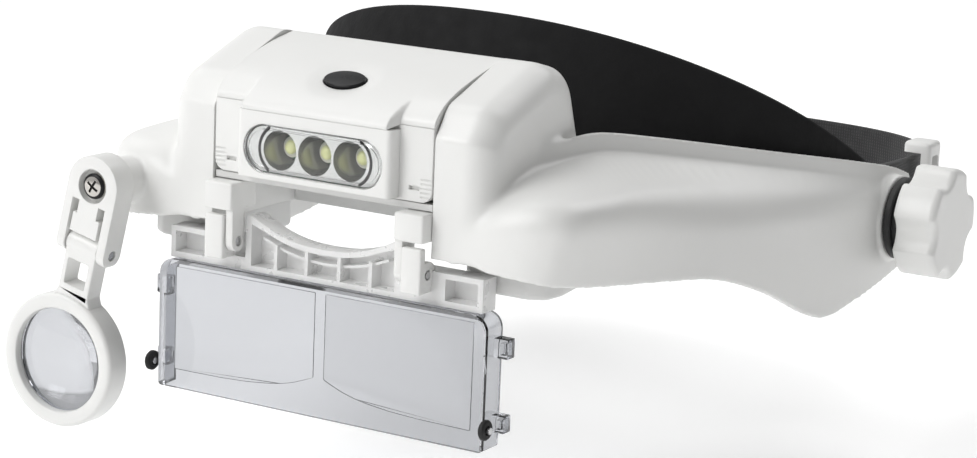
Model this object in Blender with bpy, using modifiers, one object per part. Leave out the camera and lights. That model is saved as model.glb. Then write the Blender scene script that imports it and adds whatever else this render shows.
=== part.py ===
"""Head visor magnifier with a three-LED lamp, a flip-up lens plate, a swing loupe and a pivoting headband.

Metres, +Z up. The visor faces -Y and the wearer's left is +X. Pieces are laid out around the lens plate:
Y = 0 is the front of the plate, Z = 0 its lower edge and X = 0 the plane of symmetry. Everything hangs from
the empty "visor_frame", which moves that layout so that the origin is the middle of the object's underside.
"""

import math

import bmesh
import bpy
from mathutils import Matrix, Vector

# ---------------------------------------------------------------- driving dimensions
PLATE_WIDTH = 0.100
PLATE_HEIGHT = 0.0344
WALL = 0.0022
GAP = 0.0003
PIVOT_HALF_WIDTH = 0.0929
PIVOT_Y = 0.150
PIVOT_Z = 0.042
PIVOT_BORE = 0.0034
STUD_RADIUS = 0.0029
STUD_BORE = 0.0032
NUT_HALF = 0.0048
BLOCK_HALF_WIDTH = 0.0488
POCKET_HALF_WIDTH = 0.0334
LOUPE_RADIUS = 0.018
LOUPE_BORE = 0.0019
SCREW_BORE = 0.0016
ROUND_STEPS = 24

# ---------------------------------------------------------------- derived sizes
LENS_PIN_Y = -0.0004
LENS_PIN_Z = PLATE_HEIGHT + 0.0081
LAMP_FRONT_Y = -0.0042
LAMP_Z = PLATE_HEIGHT + 0.0339
LAMP_LOW = LAMP_Z - 0.0081
LAMP_HIGH = LAMP_Z + 0.0103
LED_SPACING = 0.0105
LID_SLOPE = math.radians(22.6)
LID_HINGE_Y = 0.0352
LID_HINGE_Z = 0.0912
BUTTON_Y = 0.0094
BUTTON_Z = 0.0863
BUTTON_TRAVEL = 0.0012
CELL_RADIUS = 0.00525
CELL_LENGTH = 0.0445
LOUPE_X = -0.0611
LOUPE_Z = 0.0537
LOUPE_Y = -0.0110
LOUPE_LEAN = math.radians(13.1)
FORK_DROP = 0.0170
RING_DROP = 0.0494
BAND_TILT = math.radians(27.3)
BAND_HALF_WIDTH = 0.0845
BAND_REACH = 0.0940
BAND_THICK = 0.0024
BAND_HALF_HEIGHT = 0.0112
BAND_ROUNDNESS = 2 / 2.2
STRAP_REACH = 0.0930
STRAP_HALF_WIDTH = 0.0800
STRAP_HALF_HEIGHT = 0.0120
STRAP_FALL = 0.0045
STRAP_START = 0.0080
STRAP_THICK = 0.0020
STRAP_ROUNDNESS = 2 / 3.2

FRONT_EDGE = LOUPE_Y - 0.0038
REAR_EDGE = PIVOT_Y + STRAP_REACH + 0.0010
LOWEST = LOUPE_Z - RING_DROP * math.cos(LOUPE_LEAN) - LOUPE_RADIUS
ORIGIN_SHIFT = Vector((0.0, -(FRONT_EDGE + REAR_EDGE) / 2, -LOWEST))

Z_AXIS = Matrix.Identity(4)
X_AXIS = Matrix.Rotation(math.radians(90), 4, "Y")
MINUS_X_AXIS = Matrix.Rotation(math.radians(-90), 4, "Y")
Y_AXIS = Matrix.Rotation(math.radians(-90), 4, "X")

WHITE = ((0.86, 0.87, 0.87), 0.38, 0.0, 1.0)
SOFT_WHITE = ((0.80, 0.82, 0.83), 0.45, 0.0, 1.0)
FROSTED = ((0.82, 0.84, 0.86), 0.35, 0.0, 0.8)
CLEAR = ((0.86, 0.90, 0.94), 0.06, 0.0, 0.35)
BLACK = ((0.012, 0.012, 0.013), 0.75, 0.0, 1.0)
GLOSS_BLACK = ((0.01, 0.01, 0.01), 0.3, 0.0, 1.0)
FOAM = ((0.02, 0.02, 0.022), 0.95, 0.0, 1.0)
STEEL = ((0.60, 0.60, 0.61), 0.3, 1.0, 1.0)
CHROME = ((0.78, 0.78, 0.79), 0.12, 1.0, 1.0)
BRASS = ((0.75, 0.62, 0.32), 0.35, 1.0, 1.0)
BOARD_GREEN = ((0.05, 0.22, 0.10), 0.5, 0.0, 1.0)
LED_YELLOW = ((0.78, 0.80, 0.30), 0.3, 0.0, 1.0)
CELL_COAT = ((0.08, 0.10, 0.14), 0.4, 0.0, 1.0)
RED = ((0.55, 0.02, 0.02), 0.5, 0.0, 1.0)


# ---------------------------------------------------------------- scene and helpers
for old in list(bpy.data.objects):
    bpy.data.objects.remove(old, do_unlink=True)

parts = bpy.data.collections.new("head_visor_magnifier")
cutters = bpy.data.collections.new("cutters")
bpy.context.scene.collection.children.link(parts)
bpy.context.scene.collection.children.link(cutters)
cutters.hide_render = True

layout_place = {}


def pivot(name, place, parent=None):
    """An empty on a joint axis, at a place in the layout."""
    empty = bpy.data.objects.new(name, None)
    empty.empty_display_size = 0.01
    parts.objects.link(empty)
    place = Vector(place)
    if parent is None:
        empty.location = ORIGIN_SHIFT
    else:
        empty.parent = parent
        empty.location = place - layout_place[parent.name]
    layout_place[name] = place
    return empty


def finish(obj, name, look, parent, place=(0, 0, 0)):
    """Names a piece, gives it its material and hangs it, at a place in the layout, from its parent empty."""
    obj.name = name
    obj.data.name = name
    color, roughness, metallic, alpha = look
    material = bpy.data.materials.new(name)
    material.use_nodes = True
    shader = material.node_tree.nodes["Principled BSDF"]
    shader.inputs["Base Color"].default_value = (*color, 1.0)
    shader.inputs["Roughness"].default_value = roughness
    shader.inputs["Metallic"].default_value = metallic
    shader.inputs["Alpha"].default_value = alpha
    obj.data.materials.clear()
    obj.data.materials.append(material)
    obj.parent = parent
    obj.location = Vector(place) - layout_place[parent.name]
    if obj.name not in parts.objects:
        parts.objects.link(obj)
    return obj


def mesh_object(name, bm):
    bmesh.ops.recalc_face_normals(bm, faces=bm.faces)
    mesh = bpy.data.meshes.new(name)
    bm.to_mesh(mesh)
    bm.free()
    obj = bpy.data.objects.new(name, mesh)
    parts.objects.link(obj)
    return obj


def add_bevel(obj, width, segments=2, angle=40):
    bevel = obj.modifiers.new("edge_radius", "BEVEL")
    bevel.width = width
    bevel.segments = segments
    bevel.limit_method = "ANGLE"
    bevel.angle_limit = math.radians(angle)
    return obj


def block(name, low, high):
    """A box between two corners."""
    low, high = Vector(low), Vector(high)
    bm = bmesh.new()
    size = Matrix.Diagonal((*(high - low), 1.0))
    bmesh.ops.create_cube(bm, size=1.0, matrix=Matrix.Translation((low + high) / 2) @ size)
    return mesh_object(name, bm)


def rod(name, centre, axis, radius, length, steps=ROUND_STEPS, end_radius=None):
    """A cylinder or cone about an axis matrix, centred on a point; end_radius is at the positive end."""
    bm = bmesh.new()
    bmesh.ops.create_cone(
        bm,
        cap_ends=True,
        segments=steps,
        radius1=radius,
        radius2=radius if end_radius is None else end_radius,
        depth=length,
        matrix=Matrix.Translation(centre) @ axis,
    )
    return mesh_object(name, bm)


def turned(name, profile, centre, axis, steps=ROUND_STEPS):
    """A closed (radius, height) profile, turned about the axis by a Screw modifier, as a plain mesh."""
    bm = bmesh.new()
    points = [bm.verts.new((radius, 0.0, height)) for radius, height in profile]
    for start, end in zip(points, points[1:] + points[:1]):
        on_axis = abs(start.co.x) < 1e-9 and abs(end.co.x) < 1e-9
        if not on_axis:
            bm.edges.new((start, end))
    mesh = bpy.data.meshes.new(name)
    bm.to_mesh(mesh)
    bm.free()
    spun = bpy.data.objects.new(name, mesh)
    parts.objects.link(spun)
    screw = spun.modifiers.new("turn", "SCREW")
    screw.steps = steps
    screw.render_steps = steps
    screw.use_merge_vertices = True
    screw.merge_threshold = 0.00001
    obj = baked(spun)
    obj.data.transform(Matrix.Translation(centre) @ axis)
    return obj


def rounded(corners, radius, steps=3):
    """A closed outline with its corners rounded; each corner is (x, y) or (x, y, its own radius)."""
    outline = []
    for index, corner in enumerate(corners):
        here = Vector(corner[:2])
        size = corner[2] if len(corner) > 2 else radius
        before = (Vector(corners[index - 1][:2]) - here).normalized()
        after = (Vector(corners[(index + 1) % len(corners)][:2]) - here).normalized()
        if size <= 0:
            outline.append(tuple(here))
            continue
        half = before.angle(after) / 2
        reach = size / math.tan(half)
        middle = here + (before + after).normalized() * (size / math.sin(half))
        first = here + before * reach - middle
        last = here + after * reach - middle
        turn = first.angle_signed(last)
        for step in range(steps + 1):
            arm = first.copy()
            arm.rotate(Matrix.Rotation(-turn * step / steps, 2))
            outline.append(tuple(middle + arm))
    return outline


def stadium(length, height, steps=8):
    """A slot outline centred on the origin."""
    radius = height / 2
    reach = length / 2 - radius
    outline = []
    for side in (1, -1):
        for step in range(steps + 1):
            angle = side * math.pi / 2 - math.pi * step / steps
            outline.append((side * reach + radius * math.cos(angle), radius * math.sin(angle)))
    return outline


def oval(length, width, steps=20):
    """An ellipse centred on the origin."""
    turns = [2 * math.pi * step / steps for step in range(steps)]
    return [(length / 2 * math.cos(turn), width / 2 * math.sin(turn)) for turn in turns]


def lower_half_circle(radius, steps=8):
    """Points of a half circle round the origin, from its left end under to its right end."""
    turns = [math.pi + math.pi * step / steps for step in range(steps + 1)]
    return [(radius * math.cos(turn), radius * math.sin(turn)) for turn in turns]


def shifted(outline, across, up):
    return [(x + across, y + up) for x, y in outline]


def extruded(name, outline, depth, matrix):
    """A flat outline extruded by depth, centred, as a mesh. The matrix sets its plane."""
    curve = bpy.data.curves.new(name, "CURVE")
    curve.dimensions = "2D"
    curve.fill_mode = "BOTH"
    curve.extrude = depth / 2
    spline = curve.splines.new("POLY")
    spline.points.add(len(outline) - 1)
    for point, (x, y) in zip(spline.points, outline):
        point.co = (x, y, 0.0, 1.0)
    spline.use_cyclic_u = True
    flat = bpy.data.objects.new(name, curve)
    parts.objects.link(flat)
    obj = baked(flat)
    obj.data.transform(matrix)
    return obj


def in_yz(name, outline, low_x, high_x):
    """An outline of (y, z) points extruded along X."""
    matrix = Matrix.Translation(((low_x + high_x) / 2, 0, 0)) @ Matrix(
        ((0, 0, 1, 0), (1, 0, 0, 0), (0, 1, 0, 0), (0, 0, 0, 1))
    )
    return extruded(name, outline, high_x - low_x, matrix)


def in_xz(name, outline, low_y, high_y):
    """An outline of (x, z) points extruded along Y."""
    matrix = Matrix.Translation((0, (low_y + high_y) / 2, 0)) @ Matrix(
        ((1, 0, 0, 0), (0, 0, -1, 0), (0, 1, 0, 0), (0, 0, 0, 1))
    )
    return extruded(name, outline, high_y - low_y, matrix)


def in_xy(name, outline, low_z, high_z):
    """An outline of (x, y) points extruded along Z."""
    return extruded(name, outline, high_z - low_z, Matrix.Translation((0, 0, (low_z + high_z) / 2)))


def wire(name, points, radius, sides=2):
    """A tube along a polyline, with closed ends."""
    curve = bpy.data.curves.new(name, "CURVE")
    curve.dimensions = "3D"
    curve.bevel_depth = radius
    curve.bevel_resolution = sides
    curve.use_fill_caps = True
    spline = curve.splines.new("POLY")
    spline.points.add(len(points) - 1)
    for point, place in zip(spline.points, points):
        point.co = (*place, 1.0)
    tube = bpy.data.objects.new(name, curve)
    parts.objects.link(tube)
    return baked(tube)


def baked(obj):
    """The object's evaluated shape as a plain, welded mesh object; the original goes."""
    bpy.context.view_layer.update()
    graph = bpy.context.evaluated_depsgraph_get()
    mesh = bpy.data.meshes.new_from_object(obj.evaluated_get(graph), depsgraph=graph)
    bm = bmesh.new()
    bm.from_mesh(mesh)
    bmesh.ops.remove_doubles(bm, verts=bm.verts, dist=0.000005)
    bmesh.ops.recalc_face_normals(bm, faces=bm.faces)
    bm.to_mesh(mesh)
    bm.free()
    made = bpy.data.objects.new(obj.name, mesh)
    made.matrix_world = obj.matrix_world
    parts.objects.link(made)
    bpy.data.objects.remove(obj, do_unlink=True)
    return made


def combine(target, tool, operation="DIFFERENCE"):
    """Applies one exact Boolean with a tool from the cutters collection, which then goes."""
    parts.objects.unlink(tool)
    cutters.objects.link(tool)
    tool.hide_render = True
    tool.display_type = "WIRE"
    boolean = target.modifiers.new(operation.lower(), "BOOLEAN")
    boolean.operation = operation
    boolean.solver = "EXACT"
    boolean.object = tool
    result = baked(target)
    bpy.data.objects.remove(tool, do_unlink=True)
    return result


def cut(target, tool):
    return combine(target, tool, "DIFFERENCE")


def join(target, tool):
    return combine(target, tool, "UNION")


def mirrored(obj):
    """A copy of a baked object on the other side of the plane of symmetry."""
    mesh = obj.data.copy()
    mesh.transform(Matrix.Scale(-1, 4, (1, 0, 0)))
    mesh.flip_normals()
    copy = bpy.data.objects.new(obj.name + "_mirror", mesh)
    parts.objects.link(copy)
    return copy


def smooth(obj, angle=35):
    """Smooth shading with sharp edges kept."""
    obj.data.shade_smooth()
    obj.data.set_sharp_from_angle(angle=math.radians(angle))
    return obj


def loft(name, rings, closed_ring=True):
    """Skins equal-length rows of points in order; closed rings get a cap at each end."""
    bm = bmesh.new()
    rows = [[bm.verts.new(point) for point in ring] for ring in rings]
    count = len(rows[0])
    last = count if closed_ring else count - 1
    for row, following in zip(rows, rows[1:]):
        for index in range(last):
            after = (index + 1) % count
            bm.faces.new((row[index], row[after], following[after], following[index]))
    if closed_ring:
        bm.faces.new(rows[0])
        bm.faces.new(rows[-1][::-1])
    return mesh_object(name, bm)


# ---------------------------------------------------------------- frame and joint empties
frame = pivot("visor_frame", (0, 0, 0))
lid_axis = pivot("lid_axis", (0, LID_HINGE_Y, LID_HINGE_Z), frame)
button_axis = pivot("button_axis", (0, BUTTON_Y, BUTTON_Z), lid_axis)
plunger_axis = pivot("plunger_axis", (0, BUTTON_Y, BUTTON_Z), frame)
lens_axis = pivot("lens_axis", (0, LENS_PIN_Y, LENS_PIN_Z), frame)
loupe_axis = pivot("loupe_axis", (LOUPE_X, LOUPE_Y, LOUPE_Z), frame)
fork_axis = pivot(
    "fork_axis",
    (
        LOUPE_X - FORK_DROP * math.sin(LOUPE_LEAN),
        LOUPE_Y,
        LOUPE_Z - FORK_DROP * math.cos(LOUPE_LEAN),
    ),
    loupe_axis,
)
band_axis = pivot("band_axis", (0, PIVOT_Y, PIVOT_Z), frame)
knob_axes = {side: pivot(f"knob_{side}_axis", (0, PIVOT_Y, PIVOT_Z), frame) for side in ("left", "right")}

LOUPE_FRAME = Matrix.Translation((LOUPE_X, LOUPE_Y, LOUPE_Z)) @ Matrix.Rotation(LOUPE_LEAN, 4, "Y")
BUTTON_FRAME = Matrix.Translation((0, BUTTON_Y, BUTTON_Z)) @ Matrix.Rotation(LID_SLOPE, 4, "X")


# ---------------------------------------------------------------- visor shell
# Stations from the middle of the brow round the shoulder and back along the temple arm. Each gives the crease
# above the shelf, the corner where the shelf rolls over into the side, and the lower edge.
CREASE = [
    (0.0380, 0.0110, 0.0605),
    (0.0425, 0.0115, 0.0630),
    (0.0455, 0.0130, 0.0655),
    (0.0480, 0.0180, 0.0675),
    (0.0505, 0.0270, 0.0690),
    (0.0535, 0.0370, 0.0700),
    (0.0570, 0.0460, 0.0702),
    (0.0635, 0.0600, 0.0682),
    (0.0718, 0.0780, 0.0652),
    (0.0790, 0.0980, 0.0617),
    (0.0850, 0.1180, 0.0583),
    (0.0885, 0.1350, 0.0553),
    (0.0902, 0.1520, 0.0520),
    (0.0905, 0.1640, 0.0485),
]
SHOULDER = [
    (0.0380, 0.0004, 0.0545),
    (0.0460, -0.0006, 0.0575),
    (0.0560, -0.0008, 0.0610),
    (0.0650, 0.0010, 0.0630),
    (0.0715, 0.0060, 0.0630),
    (0.0745, 0.0170, 0.0625),
    (0.0768, 0.0320, 0.0615),
    (0.0800, 0.0480, 0.0595),
    (0.0845, 0.0680, 0.0565),
    (0.0885, 0.0900, 0.0540),
    (0.0910, 0.1120, 0.0515),
    (0.0920, 0.1340, 0.0495),
    (0.0922, 0.1520, 0.0470),
    (0.0922, 0.1690, 0.0430),
]
LOWER_EDGE = [
    (0.0380, 0.0003, 0.0462),
    (0.0460, -0.0004, 0.0457),
    (0.0540, 0.0002, 0.0450),
    (0.0600, 0.0016, 0.0443),
    (0.0650, 0.0050, 0.0434),
    (0.0690, 0.0130, 0.0424),
    (0.0730, 0.0270, 0.0412),
    (0.0775, 0.0420, 0.0402),
    (0.0825, 0.0600, 0.0382),
    (0.0868, 0.0800, 0.0318),
    (0.0900, 0.1000, 0.0228),
    (0.0915, 0.1130, 0.0206),
    (0.0920, 0.1420, 0.0243),
    (0.0921, 0.1640, 0.0285),
]
BLOCK_END_RADIUS = 0.0075
BLOCK_END_STEPS = 4
BLOCK_LOW = 0.0465
BLOCK_REAR = 0.0490
HOLLOW_LOW = 0.0300
HORN_WALL = 0.0030
STRIP_FRONT = 0.0058
STRIP_REAR = 0.0036
ROLL_SHARE = 0.45
ROLL_MOST = 0.0085
PIVOT_SEAT_RADIUS = 0.0118
LOUPE_BOSS_RADIUS = 0.0062


def arm_section(crease, shoulder, lower, strip):
    """Points of one station, from the top edge down the strip, over the shelf and down the side."""
    crease, shoulder, lower = Vector(crease), Vector(shoulder), Vector(lower)
    shelf = crease - shoulder
    side = lower - shoulder
    reach = min(ROLL_SHARE * shelf.length, ROLL_SHARE * side.length, ROLL_MOST)
    start = shoulder + shelf.normalized() * reach
    end = shoulder + side.normalized() * reach
    points = [crease + Vector((-0.0006, 0, strip)), crease]
    for step in range(5):
        t = step / 4
        points.append(start * (1 - t) ** 2 + shoulder * (2 * t * (1 - t)) + end * t**2)
    points.append((end + lower) / 2)
    points.append(lower)
    return points


def make_arm():
    """The left fender and temple arm: a sheet thickened inwards."""
    last = len(CREASE) - 1
    rows = []
    for index in range(last + 1):
        strip = STRIP_FRONT + (STRIP_REAR - STRIP_FRONT) * index / last
        rows.append(arm_section(CREASE[index], SHOULDER[index], LOWER_EDGE[index], strip))
    arm = loft("arm", rows, closed_ring=False)
    # the sheet's outer face looks away from the head
    probe = arm.data.polygons[len(arm.data.polygons) // 2]
    if probe.normal.x < 0:
        arm.data.flip_normals()
    thick = arm.modifiers.new("wall", "SOLIDIFY")
    thick.thickness = WALL
    thick.offset = -1.0
    thick.use_even_offset = False
    return baked(arm)


def block_outline(inset=0.0):
    """Side view (y, z) of the brow block, drawn in by an inset all round."""
    i = inset
    return [
        (0.0000 + i, BLOCK_LOW, 0.0),
        (0.0000 + i, 0.0766 - 0.4 * i, 0.0020),
        (0.0052 + 0.5 * i, 0.0842 - 0.8 * i, 0.0070),
        (0.0300, 0.0934 - i, 0.0080),
        (0.0415 - 0.6 * i, 0.0905 - i, 0.0070),
        (BLOCK_REAR - i, 0.0700, 0.0),
        (BLOCK_REAR - i, BLOCK_LOW, 0.0),
    ]


def make_shell():
    body = make_block()
    arm = make_arm()
    other = mirrored(arm)
    body = join(body, arm)
    body = join(body, other)
    low = HOLLOW_LOW
    hollow = [(y, z if z > BLOCK_LOW else low) for y, z in rounded(block_outline(WALL), 0.0, 3)]
    inner = BLOCK_HALF_WIDTH - HORN_WALL
    for side in (1, -1):
        near, far = sorted((side * (POCKET_HALF_WIDTH + WALL), side * inner))
        body = cut(body, in_yz("horn_hollow", hollow, near, far))
    pocket = POCKET_HALF_WIDTH
    body = cut(body, block("pocket", (-pocket, -0.02, low), (pocket, 0.0368, 0.120)))
    rear = [(0.0390, low), (0.0390, 0.0870), (0.0405, 0.0870), (0.0468, 0.0700), (0.0468, low)]
    body = cut(body, in_yz("rear_hollow", rear, -pocket, pocket))
    for side in (1, -1):
        seat = rod("pivot_seat", (side * 0.0898, PIVOT_Y, PIVOT_Z), X_AXIS, PIVOT_SEAT_RADIUS, 0.0062)
        body = join(body, seat)
        bore = rod("pivot_bore", (side * 0.0900, PIVOT_Y, PIVOT_Z), X_AXIS, PIVOT_BORE, 0.0200)
        body = cut(body, bore)
    boss = rod("loupe_boss", (LOUPE_X, -0.0013, LOUPE_Z), Y_AXIS, LOUPE_BOSS_RADIUS, 0.0100)
    body = join(body, boss)
    bore = rod("loupe_bore", (LOUPE_X, -0.0030, LOUPE_Z), Y_AXIS, LOUPE_BORE, 0.0160, 16)
    body = cut(body, bore)
    return finish(smooth(body), "visor_shell", WHITE, frame)


def make_block():
    """The solid brow block: its side outline lofted across, drawn in on quarter circles at the two ends."""
    stations = []
    for step in range(BLOCK_END_STEPS + 1):
        turn = math.pi / 2 * step / BLOCK_END_STEPS
        x = BLOCK_HALF_WIDTH - BLOCK_END_RADIUS * (1 - math.sin(turn))
        stations.append((x, BLOCK_END_RADIUS * (1 - math.cos(turn))))
    stations = [(-x, inset) for x, inset in reversed(stations)] + stations
    rings = []
    for x, inset in stations:
        rings.append([(x, y, z) for y, z in rounded(block_outline(inset), 0.0, 4)])
    return loft("brow_block", rings)


# ---------------------------------------------------------------- lamp block: tray, lamp, cells, switch, lid
FLOOR_LOW = LAMP_LOW - 0.0020
FLOOR_HIGH = LAMP_LOW - GAP
LAMP_HALF = POCKET_HALF_WIDTH - 0.0005
TRAY_HALF = 0.0274
TRAY_TOP = LAMP_LOW + 0.0138
CELL_PLACES = ((0.0149, 0.0), (0.0263, 0.0), (0.0263, 0.0114))
CELL_FLOOR_Z = FLOOR_HIGH + GAP + CELL_RADIUS
CONTACT_X = 0.0249
WINDOW_LENGTH = 0.0414
WINDOW_HEIGHT = 0.0119
SLOT_MARGIN = 0.0006
REFLECTOR_MARGIN = -0.0006
TRAY_WALL = 0.0018
HOUSING_WALL = 0.0016
CELL_SHOULDER = 0.0044
CELL_TIP = 0.0019
LED_PLACES = (-LED_SPACING, 0.0, LED_SPACING)
NOSE_HALF = 0.0232
LATCH_SLOT_X = 0.0277
LATCH_SLOT_Z = 0.0636
CUP_FRONT_RADIUS = 0.0044
CUP_BACK_RADIUS = 0.0028


def make_tray():
    """The floor under the lamp, with an open box on it for the cells."""
    tray = block("battery_tray", (-LAMP_HALF, 0.0006, FLOOR_LOW), (LAMP_HALF, 0.0363, FLOOR_HIGH))
    box = block("box", (-TRAY_HALF, 0.0083, FLOOR_LOW), (TRAY_HALF, 0.0334, TRAY_TOP))
    tray = join(tray, box)
    inner = TRAY_HALF - TRAY_WALL
    tray = cut(tray, block("cell_space", (-inner, 0.0094, FLOOR_HIGH), (inner, 0.0318, TRAY_TOP + 0.01)))
    finish(tray, "battery_tray", SOFT_WHITE, frame)


def make_lamp_housing():
    """The front fascia: a tray open to the rear, its middle standing proud around a slotted window."""
    corners = [(-LAMP_HALF, LAMP_LOW, 0.003), (LAMP_HALF, LAMP_LOW, 0.003)]
    corners += [(LAMP_HALF, LAMP_HIGH), (-LAMP_HALF, LAMP_HIGH)]
    housing = in_xz("lamp_housing", rounded(corners, 0.0), 0.0, 0.0078)
    nose_low = (-NOSE_HALF, LAMP_FRONT_Y, LAMP_LOW + 0.0006)
    nose_high = (NOSE_HALF, 0.0010, LAMP_HIGH - 0.0016)
    nose = block("nose", nose_low, nose_high)
    add_bevel(nose, 0.0016)
    housing = join(housing, baked(nose))
    wall = HOUSING_WALL
    inside_low = (-LAMP_HALF + wall, wall, LAMP_LOW + wall)
    inside_high = (LAMP_HALF - wall, 0.0100, LAMP_HIGH - wall)
    housing = cut(housing, block("inside", inside_low, inside_high))
    recess_low = (-NOSE_HALF + wall, LAMP_FRONT_Y + 0.0030, LAMP_LOW + 0.0020)
    recess_high = (NOSE_HALF - wall, 0.0020, LAMP_HIGH - 0.0030)
    housing = cut(housing, block("recess", recess_low, recess_high))
    opening = stadium(WINDOW_LENGTH + SLOT_MARGIN, WINDOW_HEIGHT + SLOT_MARGIN)
    slot = in_xz("slot", shifted(opening, 0, LAMP_Z), LAMP_FRONT_Y - 0.002, 0.0020)
    housing = cut(housing, slot)
    for side in (1, -1):
        low = (side * LATCH_SLOT_X - 0.0015, -0.0010, LATCH_SLOT_Z - 0.0004)
        high = (side * LATCH_SLOT_X + 0.0015, 0.0006, LATCH_SLOT_Z + 0.0004)
        housing = cut(housing, block("latch_slot", low, high))
    finish(smooth(housing), "lamp_housing", WHITE, frame)


def make_lamp():
    window = in_xz(
        "lamp_window",
        shifted(stadium(WINDOW_LENGTH, WINDOW_HEIGHT), 0, LAMP_Z),
        LAMP_FRONT_Y - 0.0003,
        LAMP_FRONT_Y + 0.0012,
    )
    finish(smooth(window), "lamp_window", CLEAR, frame)
    front, back = LAMP_FRONT_Y + 0.0015, 0.0044
    bowl = stadium(WINDOW_LENGTH + REFLECTOR_MARGIN, WINDOW_HEIGHT + REFLECTOR_MARGIN)
    reflector = in_xz("reflector", shifted(bowl, 0, LAMP_Z), front, back)
    for place in LED_PLACES:
        centre = (place, (front + back) / 2, LAMP_Z)
        length = back - front + 0.0004
        cup = rod("cup", centre, Y_AXIS, CUP_FRONT_RADIUS, length, ROUND_STEPS, CUP_BACK_RADIUS)
        reflector = cut(reflector, cup)
    finish(smooth(reflector, 25), "reflector", CHROME, frame)
    board = block("led_board", (-0.0205, 0.0052, LAMP_Z - 0.0064), (0.0205, 0.0066, LAMP_Z + 0.0076))
    finish(board, "led_board", BOARD_GREEN, frame)
    profile = [(0, 0), (0.0024, 0), (0.0024, 0.0011), (0.0020, 0.0011)]
    profile += [(0.0017, 0.0022), (0.0009, 0.0029), (0, 0.0031)]
    forward = Matrix.Rotation(math.radians(90), 4, "X")
    for number, place in enumerate(LED_PLACES, 1):
        led = turned("led", profile, (place, 0.0049, LAMP_Z), forward, 16)
        finish(smooth(led), f"led_{number}", LED_YELLOW, frame)


def make_cells():
    half = CELL_LENGTH / 2
    for number, (y, lift) in enumerate(CELL_PLACES, 1):
        way = 1 if number % 2 else -1
        profile = [(0, -half), (CELL_SHOULDER, -half), (CELL_RADIUS, -half + 0.0008)]
        profile += [(CELL_RADIUS, half - 0.0018), (CELL_SHOULDER, half - 0.0010)]
        profile += [(CELL_TIP, half - 0.0010), (CELL_TIP, half), (0, half)]
        axis = X_AXIS if way > 0 else MINUS_X_AXIS
        cell = turned("cell", profile, (0, y, CELL_FLOOR_Z + lift), axis, 16)
        finish(smooth(cell), f"battery_{number}", CELL_COAT, frame)
        coil = []
        turns, steps = 2, 10
        for step in range(turns * steps + 1):
            angle = 2 * math.pi * step / steps
            share = step / (turns * steps)
            radius = 0.0030 - 0.0012 * share
            x = -way * (CONTACT_X - 0.0008 - 0.0012 * share)
            coil.append((x, y + radius * math.cos(angle), CELL_FLOOR_Z + lift + radius * math.sin(angle)))
        finish(wire("coil", coil, 0.0003, 1), f"contact_spring_{number}", STEEL, frame)
    for name, side in (("left", 1), ("right", -1)):
        near, far = sorted((side * (CONTACT_X - 0.0002), side * (CONTACT_X + 0.0003)))
        plate = block("plate", (near, 0.0102, FLOOR_HIGH + GAP), (far, 0.0312, CELL_FLOOR_Z + 0.0160))
        finish(plate, f"contact_plate_{name}", BRASS, frame)


def make_wires():
    """Two leads over the tray's front wall, from the lamp board to the contact plates."""
    for name, side, look in (("red", 1, RED), ("black", -1, BLACK)):
        path = [
            (side * 0.0150, 0.0073, LAMP_Z + 0.0040),
            (side * 0.0170, 0.0074, TRAY_TOP + 0.0010),
            (side * 0.0200, 0.0090, TRAY_TOP + 0.0022),
            (side * 0.0225, 0.0140, TRAY_TOP + 0.0026),
            (side * 0.0239, 0.0160, TRAY_TOP + 0.0026),
        ]
        finish(smooth(wire("lead", path, 0.0005)), f"wire_{name}", look, frame)


def make_switch():
    """A push switch under the lid's button, lying square to the lid."""
    body = block("switch", (-0.0040, -0.0040, -0.0096), (0.0040, 0.0040, -0.0054))
    body = cut(body, rod("bore", (0, 0, -0.0070), Z_AXIS, 0.0021, 0.0040, 16))
    body.data.transform(BUTTON_FRAME)
    finish(body, "switch_body", GLOSS_BLACK, frame)
    board = block("switch_board", (-0.0120, -0.0052, -0.0111), (0.0120, 0.0052, -0.0099))
    board.data.transform(BUTTON_FRAME)
    finish(board, "switch_board", BOARD_GREEN, frame)
    plunger = rod("plunger", (0, 0, -0.0055), Z_AXIS, 0.0018, 0.0030, 16)
    plunger.data.transform(Matrix.Translation(-layout_place["plunger_axis"]) @ BUTTON_FRAME)
    finish(smooth(plunger), "switch_plunger", SOFT_WHITE, plunger_axis, layout_place["plunger_axis"])


DISH_RADIUS = 0.045
DISH_DEPTH = 0.0009
BUTTON_LENGTH = 0.0120
BUTTON_WIDTH = 0.0076
BUTTON_CLEARANCE = 0.0006
FLANGE_REACH = 0.0022


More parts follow.
